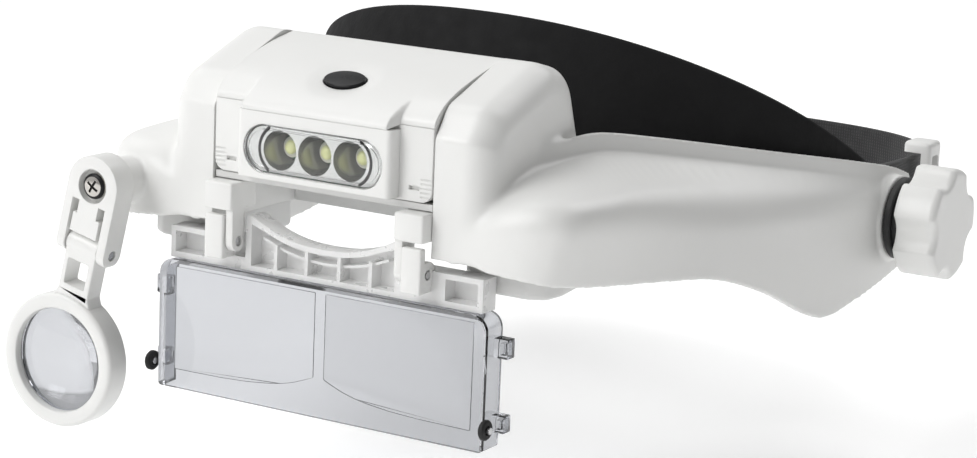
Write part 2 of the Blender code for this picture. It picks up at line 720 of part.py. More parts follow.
def make_lid():
    """The battery lid: a curved panel hinged at its rear edge, hooded over the lamp and dished in the middle."""
    outer = [(0.0005, 0.0790), (0.0020, 0.0821), (0.0056, 0.0848), (0.0120, 0.0875)]
    outer += [(0.0220, 0.0904), (0.0310, 0.0924), (0.0352, 0.0921)]
    inner = [(0.0352, 0.0876), (0.0330, 0.0892), (0.0222, 0.0880)]
    inner += [(0.0128, 0.0853), (0.0066, 0.0829), (0.0030, 0.0790)]
    lid = in_yz("battery_lid", outer + inner, -LAMP_HALF, LAMP_HALF)
    hood = [(-0.0040, 0.0780), (-0.0004, 0.0780), (-0.0004, 0.0790), (0.0030, 0.0794), (0.0056, 0.0846)]
    hood += [(0.0010, 0.0830), (-0.0028, 0.0807), (-0.0040, 0.0792)]
    lid = join(lid, in_yz("hood", hood, -NOSE_HALF, NOSE_HALF))
    ball = bmesh.new()
    bmesh.ops.create_uvsphere(ball, u_segments=96, v_segments=60, radius=DISH_RADIUS)
    dish = mesh_object("dish", ball)
    dish.data.transform(BUTTON_FRAME @ Matrix.Translation((0, 0, DISH_RADIUS - DISH_DEPTH)))
    lid = cut(lid, dish)
    opening = oval(BUTTON_LENGTH + BUTTON_CLEARANCE, BUTTON_WIDTH + BUTTON_CLEARANCE)
    lid = cut(lid, extruded("hole", opening, 0.0120, BUTTON_FRAME))
    finish(smooth(lid, 30), "battery_lid", WHITE, lid_axis)
    top = oval(BUTTON_LENGTH, BUTTON_WIDTH)
    rim = oval(BUTTON_LENGTH + FLANGE_REACH, BUTTON_WIDTH + FLANGE_REACH)
    neck = oval(BUTTON_LENGTH - 0.0010, BUTTON_WIDTH - 0.0010)
    button = extruded("button", top, 0.0034, Matrix.Translation((0, 0, -0.0015)))
    flange = extruded("flange", rim, 0.0006, Matrix.Translation((0, 0, -0.0035)))
    stem = extruded("stem", neck, 0.0010, Matrix.Translation((0, 0, -0.0033)))
    button = join(join(button, stem), flange)
    button.data.transform(BUTTON_FRAME)
    finish(smooth(button), "power_button", GLOSS_BLACK, button_axis)


# ---------------------------------------------------------------- under covers
COVER_LOW = 0.0382
COVER_HIGH = 0.0456
COVER_FLOOR = 0.0398
COVER_SCREW_X = 0.0480
COVER_SCREW_Y = 0.0240


def make_under_covers():
    """Trays that close the underside of the two shoulders."""
    corners = [(0.0372, 0.0086), (0.0560, 0.0086), (0.0602, 0.0112), (0.0608, 0.0180), (0.0590, 0.0300)]
    corners += [(0.0560, 0.0425), (0.0372, 0.0425)]
    for name, side in (("left", 1), ("right", -1)):
        outline = rounded([(side * x, y) for x, y in corners][::side], 0.0030, 2)
        inset = [(x * 0.95 + side * 0.0027, y * 0.86 + 0.0033) for x, y in outline]
        cover = in_xy("cover", outline, COVER_LOW, COVER_HIGH)
        cover = cut(cover, in_xy("inside", inset, COVER_FLOOR, COVER_HIGH + 0.0014))
        post = (side * COVER_SCREW_X, COVER_SCREW_Y, 0.0420)
        seat = (side * COVER_SCREW_X, COVER_SCREW_Y, COVER_LOW + 0.0003)
        cover = join(cover, rod("post", post, Z_AXIS, 0.0040, 0.0070, 16))
        cover = cut(cover, rod("bore", post, Z_AXIS, SCREW_BORE, 0.0200, 16))
        cover = cut(cover, rod("seat", seat, Z_AXIS, 0.0030, 0.0020, 16))
        finish(smooth(cover), f"under_cover_{name}", SOFT_WHITE, frame)
        profile = [(0, 0), (0.0026, 0), (0.0026, 0.0011), (0.0012, 0.0011), (0.0012, 0.0080), (0, 0.0080)]
        screw = turned("screw", profile, (side * COVER_SCREW_X, COVER_SCREW_Y, COVER_LOW), Z_AXIS, 16)
        finish(smooth(screw), f"cover_screw_{name}", STEEL, frame)


# ---------------------------------------------------------------- flip-up lens assembly
BOX_NEAR, BOX_FAR = 0.0246, 0.0332
BOX_LOW = 0.0507
EAR_RADIUS = 0.0031
EAR_FAR = BOX_NEAR + 0.0022
FLAP_NEAR, FLAP_FAR = EAR_FAR + GAP, BOX_FAR - GAP
FLAP_FRONT, FLAP_REAR = -0.0040, -0.0016
FLAP_LOW, FLAP_TOP = 0.0378, 0.0494
FRAME_FRONT, FRAME_REAR = 0.0016, 0.0078
FRAME_HALF = 0.0478
FRAME_ARM_TOP = 0.0432
POCKET_REAR = 0.0062
RIB_PLACES = (-0.0145, -0.0050, 0.0050, 0.0145)
KNUCKLE_RADIUS = 0.0034
PIN_RADIUS = 0.0010
PIN_BORE = 0.0013


def make_hinge_boxes():
    """Two blocks under the lamp floor, each with an ear on its inner side that carries a lens pin."""
    for name, side in (("left", 1), ("right", -1)):
        near, far = sorted((side * BOX_NEAR, side * BOX_FAR))
        box = block("box", (near, FLAP_FRONT, BOX_LOW), (far, 0.0070, FLOOR_LOW - GAP))
        ear = shifted(lower_half_circle(EAR_RADIUS), LENS_PIN_Y, LENS_PIN_Z)
        ear += [(LENS_PIN_Y + EAR_RADIUS, BOX_LOW + 0.001), (LENS_PIN_Y - EAR_RADIUS, BOX_LOW + 0.001)]
        low, high = sorted((side * BOX_NEAR, side * EAR_FAR))
        box = join(box, in_yz("ear", ear, low, high))
        middle = side * (BOX_NEAR + BOX_FAR) / 2
        box = cut(box, rod("bore", (middle, LENS_PIN_Y, LENS_PIN_Z), X_AXIS, PIN_BORE, 0.0120, 16))
        finish(smooth(box), f"hinge_box_{name}", WHITE, frame)
        length = BOX_FAR - BOX_NEAR - 0.0004
        pin = rod("pin", (middle, LENS_PIN_Y, LENS_PIN_Z), X_AXIS, PIN_RADIUS, length, 16)
        finish(smooth(pin), f"hinge_pin_{name}", STEEL, frame)


def make_lens_frame():
    """The carrier that clips the lens plate: a scooped, ribbed bar with two knuckled flaps."""
    low = PLATE_HEIGHT + GAP
    half = [(0.0, 0.0436), (0.0070, 0.0440), (0.0130, 0.0453), (0.0180, 0.0472), (0.0220, 0.0492)]
    half += [(0.0236, 0.0492), (0.0240, 0.0380), (FLAP_NEAR, 0.0380), (FLAP_NEAR, FRAME_ARM_TOP)]
    half += [(FRAME_HALF, FRAME_ARM_TOP), (FRAME_HALF, low)]
    outline = [(-x, z) for x, z in reversed(half)] + half[1:]
    bar = in_xz("lens_frame", outline, FRAME_FRONT, FRAME_REAR)
    half = [(0.0, 0.0421), (0.0065, 0.0425), (0.0125, 0.0437), (0.0180, 0.0456), (0.0220, 0.0470)]
    half.append((0.0220, low + 0.0014))
    pocket = [(-x, z) for x, z in reversed(half)] + half[1:]
    bar = cut(bar, in_xz("pocket", pocket, 0.0, POCKET_REAR))
    for x in RIB_PLACES:
        bar = join(bar, block("rib", (x - 0.0005, 0.0018, low + 0.0005), (x + 0.0005, 0.0070, 0.0426)))
    for side in (1, -1):
        near, far = sorted((side * 0.0368, side * 0.0462))
        bar = cut(bar, block("window", (near, 0.0, low + 0.0016), (far, POCKET_REAR, 0.0418)))
        near, far = sorted((side * FLAP_NEAR, side * FLAP_FAR))
        bar = join(bar, block("flap", (near, FLAP_FRONT, FLAP_LOW), (far, FLAP_REAR, FLAP_TOP)))
        bar = join(bar, block("root", (near, -0.0030, FLAP_LOW), (far, 0.0030, 0.0424)))
        middle = side * (FLAP_NEAR + FLAP_FAR) / 2
        length = FLAP_FAR - FLAP_NEAR
        bar = join(bar, rod("knuckle", (middle, LENS_PIN_Y, LENS_PIN_Z), X_AXIS, KNUCKLE_RADIUS, length))
        bar = cut(bar, rod("bore", (middle, LENS_PIN_Y, LENS_PIN_Z), X_AXIS, PIN_BORE, 0.0120, 16))
    finish(smooth(bar), "lens_frame", FROSTED, lens_axis)


PLATE_WALL = 0.0016
PLATE_FACE = 0.0022
LUGS = ((0.0236, 0.0286, 0.0540, 0.0076), (0.0046, 0.0090, 0.0536, 0.0078))
BUMPER_Y = -0.0008
BUMPER_Z = 0.0065


def make_lens_plate():
    """The clear plate: a shallow tray open to the rear and below, with two lens fields behind its face."""
    half = PLATE_WIDTH / 2
    corners = [(-half, 0, 0.001), (half, 0, 0.001), (half, PLATE_HEIGHT, 0.004), (-half, PLATE_HEIGHT, 0.004)]
    plate = in_xz("lens_plate", rounded(corners, 0.001), 0.0, 0.0080)
    reach, top = half - PLATE_WALL, PLATE_HEIGHT - PLATE_WALL
    inner = [(-reach, -0.002), (reach, -0.002), (reach, top, 0.0026), (-reach, top, 0.0026)]
    plate = cut(plate, in_xz("hollow", rounded(inner, 0.0), PLATE_FACE, 0.0100))
    for side in (1, -1):
        field = [(0.0016, 0.0100), (0.0085, 0.0074), (0.0220, 0.0053), (0.0455, 0.0047)]
        field += [(0.0455, 0.0322), (0.0016, 0.0322)]
        lens = in_xz("field", [(side * x, z) for x, z in field][::side], 0.0015, 0.0032)
        plate = join(plate, lens)
        for low, high, reach, back in LUGS:
            near, far = sorted((side * (half - 0.001), side * reach))
            plate = join(plate, block("lug", (near, back - 0.0036, low), (far, back, high)))
    finish(smooth(plate), "lens_plate", CLEAR, lens_axis)
    for name, side in (("left", 1), ("right", -1)):
        centre = (side * 0.0514, BUMPER_Y, BUMPER_Z)
        stud = rod("bumper", centre, X_AXIS, 0.0026, 0.0017, 20)
        stud = cut(stud, rod("bore", centre, X_AXIS, 0.0012, 0.0060, 16))
        finish(smooth(stud), f"bumper_{name}", BLACK, lens_axis)
        pin = rod("pin", (side * 0.0517, BUMPER_Y, BUMPER_Z), X_AXIS, 0.0009, 0.0026, 12)
        finish(smooth(pin), f"bumper_pin_{name}", STEEL, lens_axis)


# ---------------------------------------------------------------- swing loupe
LINK_HALF_WIDTH = 0.0080
LINK_HALF_DEPTH = 0.0035
LEG_INNER = 0.0054
SLIT_WIDTH = 0.0010
SLIT_TOP = -0.0052
TONGUE_END = -0.0136
FORK_PIN_RADIUS = 0.0011
FORK_PIN_BORE = 0.0014
LOUPE_WASHER_Y = LINK_HALF_DEPTH + 0.0006


def make_loupe_link():
    """The upper link: a round-topped plate with a spring tongue and a fork at its foot."""
    outline = []
    for step in range(13):
        angle = math.pi * step / 12
        outline.append((LINK_HALF_WIDTH * math.cos(angle), LINK_HALF_WIDTH * math.sin(angle)))
    foot = -FORK_DROP - LINK_HALF_DEPTH
    outline += [(-LINK_HALF_WIDTH, foot), (-LEG_INNER, foot), (-LEG_INNER, TONGUE_END)]
    outline += [(LEG_INNER, TONGUE_END), (LEG_INNER, foot), (LINK_HALF_WIDTH, foot)]
    link = in_xz("loupe_link", outline, -LINK_HALF_DEPTH, LINK_HALF_DEPTH)
    side_view = [(-LINK_HALF_DEPTH, 0.02)]
    side_view += shifted(lower_half_circle(LINK_HALF_DEPTH), 0, -FORK_DROP)
    side_view.append((LINK_HALF_DEPTH, 0.02))
    link = combine(link, in_yz("side_view", side_view, -0.02, 0.02), "INTERSECT")
    link = cut(link, rod("bore", (0, 0, 0), Y_AXIS, LOUPE_BORE, 0.0100, 16))
    link = cut(link, rod("recess", (0, -LINK_HALF_DEPTH, 0), Y_AXIS, 0.0045, 0.0040))
    link = cut(link, rod("pin_bore", (0, 0, -FORK_DROP), X_AXIS, FORK_PIN_BORE, 0.0200, 16))
    for side in (1, -1):
        near, far = sorted((side * (LEG_INNER - SLIT_WIDTH), side * LEG_INNER))
        link = cut(link, block("slit", (near, -0.0050, TONGUE_END - 0.0010), (far, 0.0050, SLIT_TOP)))
    link.data.transform(LOUPE_FRAME)
    finish(smooth(link), "loupe_link", WHITE, loupe_axis)


def make_loupe_hardware():
    head_y = -LINK_HALF_DEPTH - 0.0001
    profile = [(0, 0), (0.0028, 0.0001), (0.0034, 0.0006), (0.0034, 0.0016)]
    profile += [(0.0016, 0.0016), (0.0016, 0.0150), (0, 0.0150)]
    screw = turned("screw", profile, (0, head_y, 0), Y_AXIS, 20)
    for angle in (0.0, math.pi / 2):
        cross = block("cross", (-0.0017, head_y - 0.001, -0.0003), (0.0017, head_y + 0.0008, 0.0003))
        cross.data.transform(Matrix.Rotation(angle + math.radians(20), 4, "Y"))
        screw = cut(screw, cross)
    screw.data.transform(LOUPE_FRAME)
    finish(smooth(screw), "loupe_screw", CHROME, frame)
    washer = rod("washer", (0, LOUPE_WASHER_Y, 0), Y_AXIS, 0.0045, 0.0006, 20)
    washer = cut(washer, rod("bore", (0, LOUPE_WASHER_Y, 0), Y_AXIS, LOUPE_BORE, 0.0020, 16))
    washer.data.transform(LOUPE_FRAME)
    finish(smooth(washer), "loupe_washer", STEEL, frame)
    pin = rod("pin", (0, 0, -FORK_DROP), X_AXIS, FORK_PIN_RADIUS, 2 * LINK_HALF_WIDTH - 0.0004, 16)
    pin.data.transform(LOUPE_FRAME)
    finish(smooth(pin), "loupe_pin", STEEL, loupe_axis)


NECK_HALF = 0.0050
NECK_FLARE_Z = -0.0285
RING_HALF_DEPTH = 0.0038
LENS_SEAT = 0.0147
LENS_LIP = 0.0139


def make_loupe():
    """The loupe ring with its eye and windowed neck, and the lens held in a groove."""
    seat, lip, rim = LENS_SEAT, LENS_LIP, RING_HALF_DEPTH
    profile = [(LOUPE_RADIUS - 0.0008, -rim), (LOUPE_RADIUS, 0.0008 - rim), (LOUPE_RADIUS, rim - 0.0008)]
    profile += [(LOUPE_RADIUS - 0.0008, rim), (lip, rim), (lip, 0.0016), (seat, 0.0016)]
    profile += [(seat, -0.0016), (lip, -0.0016), (lip, -rim)]
    ring = turned("loupe_ring", profile, (0, 0, -RING_DROP), Y_AXIS, 40)
    top = -RING_DROP + LOUPE_RADIUS - 0.0018
    neck = [(-NECK_HALF, -FORK_DROP), (NECK_HALF, -FORK_DROP), (NECK_HALF, NECK_FLARE_Z)]
    neck += [(0.0064, top), (-0.0064, top), (-NECK_HALF, NECK_FLARE_Z)]
    neck = in_xz("neck", neck, -0.0028, 0.0028)
    neck = join(neck, rod("eye", (0, 0, -FORK_DROP), X_AXIS, 0.0031, 2 * NECK_HALF, 20))
    neck = cut(neck, block("window", (-0.0034, -0.01, -0.0288), (0.0034, 0.01, -0.0212)))
    neck = cut(neck, rod("bore", (0, 0, -FORK_DROP), X_AXIS, FORK_PIN_BORE, 0.0200, 16))
    ring = join(ring, neck)
    ring.data.transform(LOUPE_FRAME)
    finish(smooth(ring), "loupe_ring", WHITE, fork_axis)
    glass = [(0, -0.0032), (0.0050, -0.0028), (0.0100, -0.0018), (0.0130, -0.0008), (seat - GAP, -0.0007)]
    glass += [(r, -y) for r, y in reversed(glass)]
    lens = turned("loupe_lens", glass, (0, 0, -RING_DROP), Y_AXIS, 32)
    lens.data.transform(LOUPE_FRAME)
    finish(smooth(lens), "loupe_lens", CLEAR, fork_axis)


# ---------------------------------------------------------------- headband
PAD_HALF_ANGLE = math.radians(50)
PAD_INSET = 0.0052
PAD_HALF_THICK = 0.0035


def squared_arc(angle, half_width, reach, roundness):
    """A point of a squared-off half ellipse from one end (0) round to the other (pi): across, and along."""
    across = math.copysign(abs(math.cos(angle)) ** roundness, math.cos(angle)) * half_width
    along = max(math.sin(angle), 0.0) ** roundness * reach
    return across, along


def band_path(angle):
    """The band's middle line: from one pivot (0) over the forehead to the other (pi)."""
    return squared_arc(angle, BAND_HALF_WIDTH, BAND_REACH, BAND_ROUNDNESS)


def band_point(across, along, up):
    """A point of the tilted band: along runs forward from the pivot line, up is square to it."""
    y = PIVOT_Y - along * math.cos(BAND_TILT) + up * math.sin(BAND_TILT)
    z = PIVOT_Z + along * math.sin(BAND_TILT) + up * math.cos(BAND_TILT)
    return (across, y, z)


def strip_rings(path, half_thickness):
    """Four-point rings along a path of (across, along, low, high) stations."""
    rings = []
    for index, (across, along, low, high) in enumerate(path):
        before = path[max(index - 1, 0)]
        after = path[min(index + 1, len(path) - 1)]
        way = Vector((after[0] - before[0], after[1] - before[1])).normalized()
        out = Vector((way.y, -way.x)) * half_thickness
        ring = [(across + out.x, along + out.y, low), (across + out.x, along + out.y, high)]
        ring += [(across - out.x, along - out.y, high), (across - out.x, along - out.y, low)]
        rings.append(ring)
    return rings


def make_headband():
    """The forehead band, a strip on edge from pivot to pivot, and the pad inside it."""
    path = []
    for along, half in ((-0.0130, 0.0055), (-0.0100, 0.0090), (-0.0050, 0.0108), (0.0, BAND_HALF_HEIGHT)):
        path.append((BAND_HALF_WIDTH, along, -half, half))
    steps = 28
    for step in range(1, steps):
        angle = math.pi * step / steps
        rise = math.sin(angle)
        low = -BAND_HALF_HEIGHT - 0.0105 * rise
        high = BAND_HALF_HEIGHT + 0.0030 * rise
        path.append((*band_path(angle), low, high))
    path += [(-across, along, low, high) for across, along, low, high in reversed(path[:4])]
    rings = [[band_point(*point) for point in ring] for ring in strip_rings(path, BAND_THICK / 2)]
    band = loft("headband", rings)
    for side in (1, -1):
        bore = rod("bore", (side * BAND_HALF_WIDTH, PIVOT_Y, PIVOT_Z), X_AXIS, PIVOT_BORE, 0.0080, 16)
        band = cut(band, bore)
    finish(smooth(band, 50), "headband", BLACK, band_axis)
    path = []
    steps = 16
    for step in range(steps + 1):
        angle = math.pi / 2 - PAD_HALF_ANGLE + 2 * PAD_HALF_ANGLE * step / steps
        across, along = band_path(angle)
        end = 0.0090 if step in (0, steps) else 0.0120
        inward = Vector((across, along)) * (1 - PAD_INSET / Vector((across, along)).length)
        path.append((inward.x, inward.y, -end - 0.002, end))
    rings = [[band_point(*point) for point in ring] for ring in strip_rings(path, PAD_HALF_THICK)]
    finish(smooth(loft("forehead_pad", rings), 50), "forehead_pad", FOAM, band_axis)


def make_rear_strap():
    """The strap round the back of the head, tucked inside the band's ends, with its slide buckle."""
    path = []
    steps = 24
    for step in range(steps + 1):
        angle = math.pi * step / steps
        across, along = squared_arc(angle, STRAP_HALF_WIDTH, STRAP_REACH, STRAP_ROUNDNESS)
        behind = PIVOT_Y + STRAP_START + along * (1 - STRAP_START / STRAP_REACH)
        path.append((across, behind, -STRAP_HALF_HEIGHT, STRAP_HALF_HEIGHT))
    rings = []
    for ring in strip_rings(path, STRAP_THICK / 2):
        rings.append([(x, y, PIVOT_Z - STRAP_FALL * (y - PIVOT_Y) / STRAP_REACH + z) for x, y, z in ring])
    finish(smooth(loft("rear_strap", rings), 50), "rear_strap", BLACK, band_axis)


BUCKLE_HALF_HEIGHT = 0.0168
BUCKLE_LIP = 0.0033


def make_buckle():
    """The white slide buckle on the strap's left corner: a frame whose bar stands outside the strap."""
    frame_y = (0.1885, 0.1975)
    middle = PIVOT_Z - STRAP_FALL * (sum(frame_y) / 2 - PIVOT_Y) / STRAP_REACH
    low, high = middle - BUCKLE_HALF_HEIGHT, middle + BUCKLE_HALF_HEIGHT
    buckle = block("buckle", (0.0772, frame_y[0], low), (0.0856, frame_y[1], high))
    slot_low = (0.0730, frame_y[0] - 0.0010, low + BUCKLE_LIP)
    slot_high = (0.0829, frame_y[1] + 0.0010, high - BUCKLE_LIP)
    buckle = cut(buckle, block("strap_slot", slot_low, slot_high))
    window_low = (0.0800, frame_y[0] + 0.0022, low + 0.0040)
    window_high = (0.0900, frame_y[1] - 0.0022, high - 0.0040)
    buckle = cut(buckle, block("window", window_low, window_high))
    finish(buckle, "strap_buckle", WHITE, band_axis)


# ---------------------------------------------------------------- pivot knobs
KNOB_LOW = PIVOT_HALF_WIDTH + 0.0048
KNOB_HIGH = KNOB_LOW + 0.0122
KNOB_RADIUS = 0.0158
KNOB_LOBES = 5
KNOB_TURN = math.radians(5)
FLUTE_RADIUS = 0.0055
FLUTE_CENTRE = 0.0184
WASHER_RADIUS = 0.0115
WASHER_NECK = 0.0098
WASHER_STEP = 0.0022
WASHER_HEIGHT = 0.0042


def knob_outline():
    """A disc with round flutes cut between its lobes, as (y, z) points."""
    outline = []
    steps = 16 * KNOB_LOBES
    share = 2 * math.pi / KNOB_LOBES
    for step in range(steps):
        angle = 2 * math.pi * step / steps
        off = (angle - KNOB_TURN) % share - share / 2
        radius = KNOB_RADIUS
        sideways = FLUTE_CENTRE * math.sin(off)
        if abs(sideways) < FLUTE_RADIUS:
            fluted = FLUTE_CENTRE * math.cos(off) - math.sqrt(FLUTE_RADIUS**2 - sideways**2)
            radius = min(radius, fluted)
        outline.append((PIVOT_Y + radius * math.cos(angle), PIVOT_Z + radius * math.sin(angle)))
    return outline


def make_knobs():
    for name, side in (("left", 1), ("right", -1)):
        axis = knob_axes[name]
        low, high = sorted((side * KNOB_LOW, side * KNOB_HIGH))
        knob = in_yz("knob", knob_outline(), low, high)
        bore = rod("bore", (side * KNOB_LOW, PIVOT_Y, PIVOT_Z), X_AXIS, STUD_BORE, 0.0120, 16)
        knob = cut(knob, bore)
        add_bevel(knob, 0.0012, 2, 50)
        finish(smooth(baked(knob)), f"knob_{name}", WHITE, axis)
        stud = rod("stud", (side * 0.0905, PIVOT_Y, PIVOT_Z), X_AXIS, STUD_RADIUS, 0.0236, 16)
        finish(smooth(stud), f"knob_stud_{name}", STEEL, axis)
        outer = PIVOT_HALF_WIDTH + GAP
        profile = [(PIVOT_BORE, 0), (WASHER_RADIUS, 0), (WASHER_RADIUS, WASHER_STEP)]
        profile += [(WASHER_NECK, WASHER_STEP), (WASHER_NECK, WASHER_HEIGHT), (PIVOT_BORE, WASHER_HEIGHT)]
        turn = X_AXIS if side > 0 else MINUS_X_AXIS
        washer = turned("washer", profile, (side * outer, PIVOT_Y, PIVOT_Z), turn, ROUND_STEPS)
        finish(smooth(washer), f"pivot_washer_{name}", BLACK, frame)
        low, high = sorted((side * 0.0802, side * (BAND_HALF_WIDTH - BAND_THICK / 2 - GAP)))
        nut_low = (low, PIVOT_Y - NUT_HALF, PIVOT_Z - NUT_HALF)
        nut_high = (high, PIVOT_Y + NUT_HALF, PIVOT_Z + NUT_HALF)
        nut = block("nut", nut_low, nut_high)
        nut = cut(nut, rod("bore", (side * 0.0815, PIVOT_Y, PIVOT_Z), X_AXIS, STUD_BORE, 0.0200, 16))
        finish(nut, f"pivot_nut_{name}", STEEL, band_axis)


make_shell()
make_tray()
make_lamp_housing()
make_lamp()
make_cells()
make_wires()
make_switch()
make_lid()
make_under_covers()
make_hinge_boxes()
make_lens_frame()
make_lens_plate()
make_loupe_link()
make_loupe_hardware()
make_loupe()
make_headband()
make_rear_strap()
make_buckle()
make_knobs()
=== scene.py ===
"""Looks of a head visor magnifier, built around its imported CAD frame.

Lengths are in metres. Pieces are laid out with the front of the lens plate at Y = 0, its lower edge at Z = 0 and
the plane of symmetry at X = 0; LAYOUT_TO_ROW carries them into the row frame. -Y is forward and +X is the
wearer's left.
"""

import math

import bmesh
import bpy
import numpy as np
from mathutils import Matrix, Vector
from mathutils.bvhtree import BVHTree


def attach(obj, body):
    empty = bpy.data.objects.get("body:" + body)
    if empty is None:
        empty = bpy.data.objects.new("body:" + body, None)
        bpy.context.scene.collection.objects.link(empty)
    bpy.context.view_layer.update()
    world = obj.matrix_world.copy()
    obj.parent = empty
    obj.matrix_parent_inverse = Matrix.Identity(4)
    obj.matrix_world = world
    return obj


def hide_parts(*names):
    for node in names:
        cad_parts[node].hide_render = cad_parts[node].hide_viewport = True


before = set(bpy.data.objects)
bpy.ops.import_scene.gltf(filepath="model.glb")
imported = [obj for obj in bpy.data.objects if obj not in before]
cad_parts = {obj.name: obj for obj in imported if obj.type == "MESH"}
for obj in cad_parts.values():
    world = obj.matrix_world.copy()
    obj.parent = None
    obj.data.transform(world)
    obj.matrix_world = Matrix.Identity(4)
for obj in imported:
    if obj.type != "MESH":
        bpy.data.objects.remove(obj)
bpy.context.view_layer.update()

# ---------------------------------------------------------------- driving dimensions
PLATE_WIDTH = 0.1000
PLATE_HEIGHT = 0.0344
WALL = 0.0022
GAP = 0.0003
PIVOT_HALF_WIDTH = 0.0929
PIVOT_Y = 0.150
PIVOT_Z = 0.042
BLOCK_HALF_WIDTH = 0.0488
POCKET_HALF_WIDTH = 0.0334
LENS_PIN_Y = -0.0004
LENS_PIN_Z = PLATE_HEIGHT + 0.0081
LAMP_FRONT_Y = -0.0042
LAMP_Z = PLATE_HEIGHT + 0.0339
LAMP_LOW = LAMP_Z - 0.0081
LAMP_HIGH = LAMP_Z + 0.0103
LAMP_HALF = POCKET_HALF_WIDTH - 0.0005
LED_SPACING = 0.0105
LED_PLACES = (-LED_SPACING, 0, LED_SPACING)
LID_SLOPE = math.radians(22.6)
BUTTON_Y = 0.0094
BUTTON_Z = 0.0863
LOUPE_RADIUS = 0.018
LOUPE_X = -0.0611
LOUPE_Y = -0.0110
LOUPE_Z = 0.0537
LOUPE_LEAN = math.radians(13.1)
FORK_DROP = 0.0170
RING_DROP = 0.0494
BAND_TILT = math.radians(27.3)
BAND_HALF_WIDTH = 0.0845
BAND_REACH = 0.0940
BAND_THICK = 0.0024
STRAP_REACH = 0.0930
STRAP_HALF_WIDTH = 0.0800
STRAP_HALF_HEIGHT = 0.0120
STRAP_FALL = 0.0045

FRONT_EDGE = LOUPE_Y - 0.0038
REAR_EDGE = PIVOT_Y + STRAP_REACH + 0.0010
LOWEST = LOUPE_Z - RING_DROP * math.cos(LOUPE_LEAN) - LOUPE_RADIUS
LAYOUT_TO_ROW = Vector((0.0, -(FRONT_EDGE + REAR_EDGE) / 2, -LOWEST))

X_AXIS = Matrix.Rotation(math.radians(90), 4, "Y")
Y_AXIS = Matrix.Rotation(math.radians(-90), 4, "X")
Z_AXIS = Matrix.Identity(4)
LOUPE_FRAME = Matrix.Translation((LOUPE_X, LOUPE_Y, LOUPE_Z)) @ Matrix.Rotation(LOUPE_LEAN, 4, "Y")
BUTTON_FRAME = Matrix.Translation((0, BUTTON_Y, BUTTON_Z)) @ Matrix.Rotation(LID_SLOPE, 4, "X")

SIDES = (("left", 1), ("right", -1))
PIVOT_BORE = 0.0034
LOUPE_BORE = 0.0019
LOUPE_PIN_BORE = 0.0014
ROUND_STEPS = 64
BORE_STEPS = 32


# ---------------------------------------------------------------- materials
def new_material(name):
    """A material, its node tree and its shader."""
    material = bpy.data.materials.new(name)
    material.use_nodes = True
    return material, material.node_tree, material.node_tree.nodes["Principled BSDF"]


def fill(tree, node, values):
    """Gives each named input of a node its value, or the output that feeds it."""
    for name, value in values.items():
        if isinstance(value, bpy.types.NodeSocket):
            tree.links.new(value, node.inputs[name])
        else:
            node.inputs[name].default_value = value


def add(tree, kind, values=None, **settings):
    """A new node with its settings and inputs."""
    node = tree.nodes.new("ShaderNode" + kind)
    for name, value in settings.items():
        setattr(node, name, value)
    fill(tree, node, values or {})
    return node


def noise(tree, place, size, detail=3.0):
    """Noise whose features are about this many metres across."""
    return add(tree, "TexNoise", {"Vector": place, "Scale": 1.0 / size, "Detail": detail}).outputs["Fac"]


def remapped(tree, value, low, high):
    """Noise values stretched to run from low to high."""
    values = {"Value": value, "From Min": 0.3, "From Max": 0.7, "To Min": low, "To Max": high}
    return add(tree, "MapRange", values).outputs["Result"]


def mottled(tree, factor, color, low, high):
    """A colour that varies between two shares of itself."""
    darker, lighter = ((*(c * share for c in color), 1) for share in (low, high))
    return add(tree, "Mix", {"Factor": factor, 6: darker, 7: lighter}, data_type="RGBA").outputs[2]


def raised(tree, height, strength, distance=0.0003):
    """Normals bumped by a height."""
    return add(tree, "Bump", {"Height": height, "Strength": strength, "Distance": distance})


def surface(name, color, roughness, metallic=0.0, mottle=0.02, wear=0.05, grain=0.06, grain_size=0.0006, edge=0.0,
            shine=0.5, glow=0.0):
    """An opaque finish: mottled colour, uneven roughness, a fine grain and, with an edge radius, softened edges."""
    material, tree, shader = new_material(name)
    place = add(tree, "TexCoord").outputs["Object"]
    tint = mottled(tree, noise(tree, place, 0.014), color, 1 - mottle, 1 + mottle)
    rubbed = remapped(tree, noise(tree, place, 0.0045, 6.0), roughness - wear, roughness + wear)
    bump = raised(tree, noise(tree, place, grain_size, 2.0), grain)
    if edge:
        fill(tree, bump, {"Normal": add(tree, "Bevel", {"Radius": edge}, samples=4).outputs["Normal"]})
    fill(tree, shader, {"Base Color": tint, "Emission Color": tint, "Emission Strength": glow})
    fill(tree, shader, {"Roughness": rubbed, "Metallic": metallic, "Specular IOR Level": shine})
    fill(tree, shader, {"Normal": bump.outputs["Normal"]})
    return material


def clear(name, tint, shade, roughness=0.02, milk=0.0):
    """Clear plastic with faint ripples; milk clouds it. Shadow rays pass through, dimmed by the shade."""
    material, tree, shader = new_material(name)
    ripple = noise(tree, add(tree, "TexCoord").outputs["Object"], 0.006)
    fill(tree, shader, {"Base Color": (*tint, 1), "IOR": 1.49, "Transmission Weight": 1.0 - milk})
    fill(tree, shader, {"Roughness": remapped(tree, ripple, roughness * 0.6, roughness * 1.6)})
    fill(tree, shader, {"Normal": raised(tree, ripple, 0.02).outputs["Normal"]})
    passing = add(tree, "BsdfTransparent", {"Color": (*shade, 1)}).outputs["BSDF"]
    shadow = add(tree, "LightPath").outputs["Is Shadow Ray"]
    mix = add(tree, "MixShader", {"Fac": shadow, 1: shader.outputs["BSDF"], 2: passing})
    fill(tree, tree.nodes["Material Output"], {"Surface": mix.outputs["Shader"]})
    return material


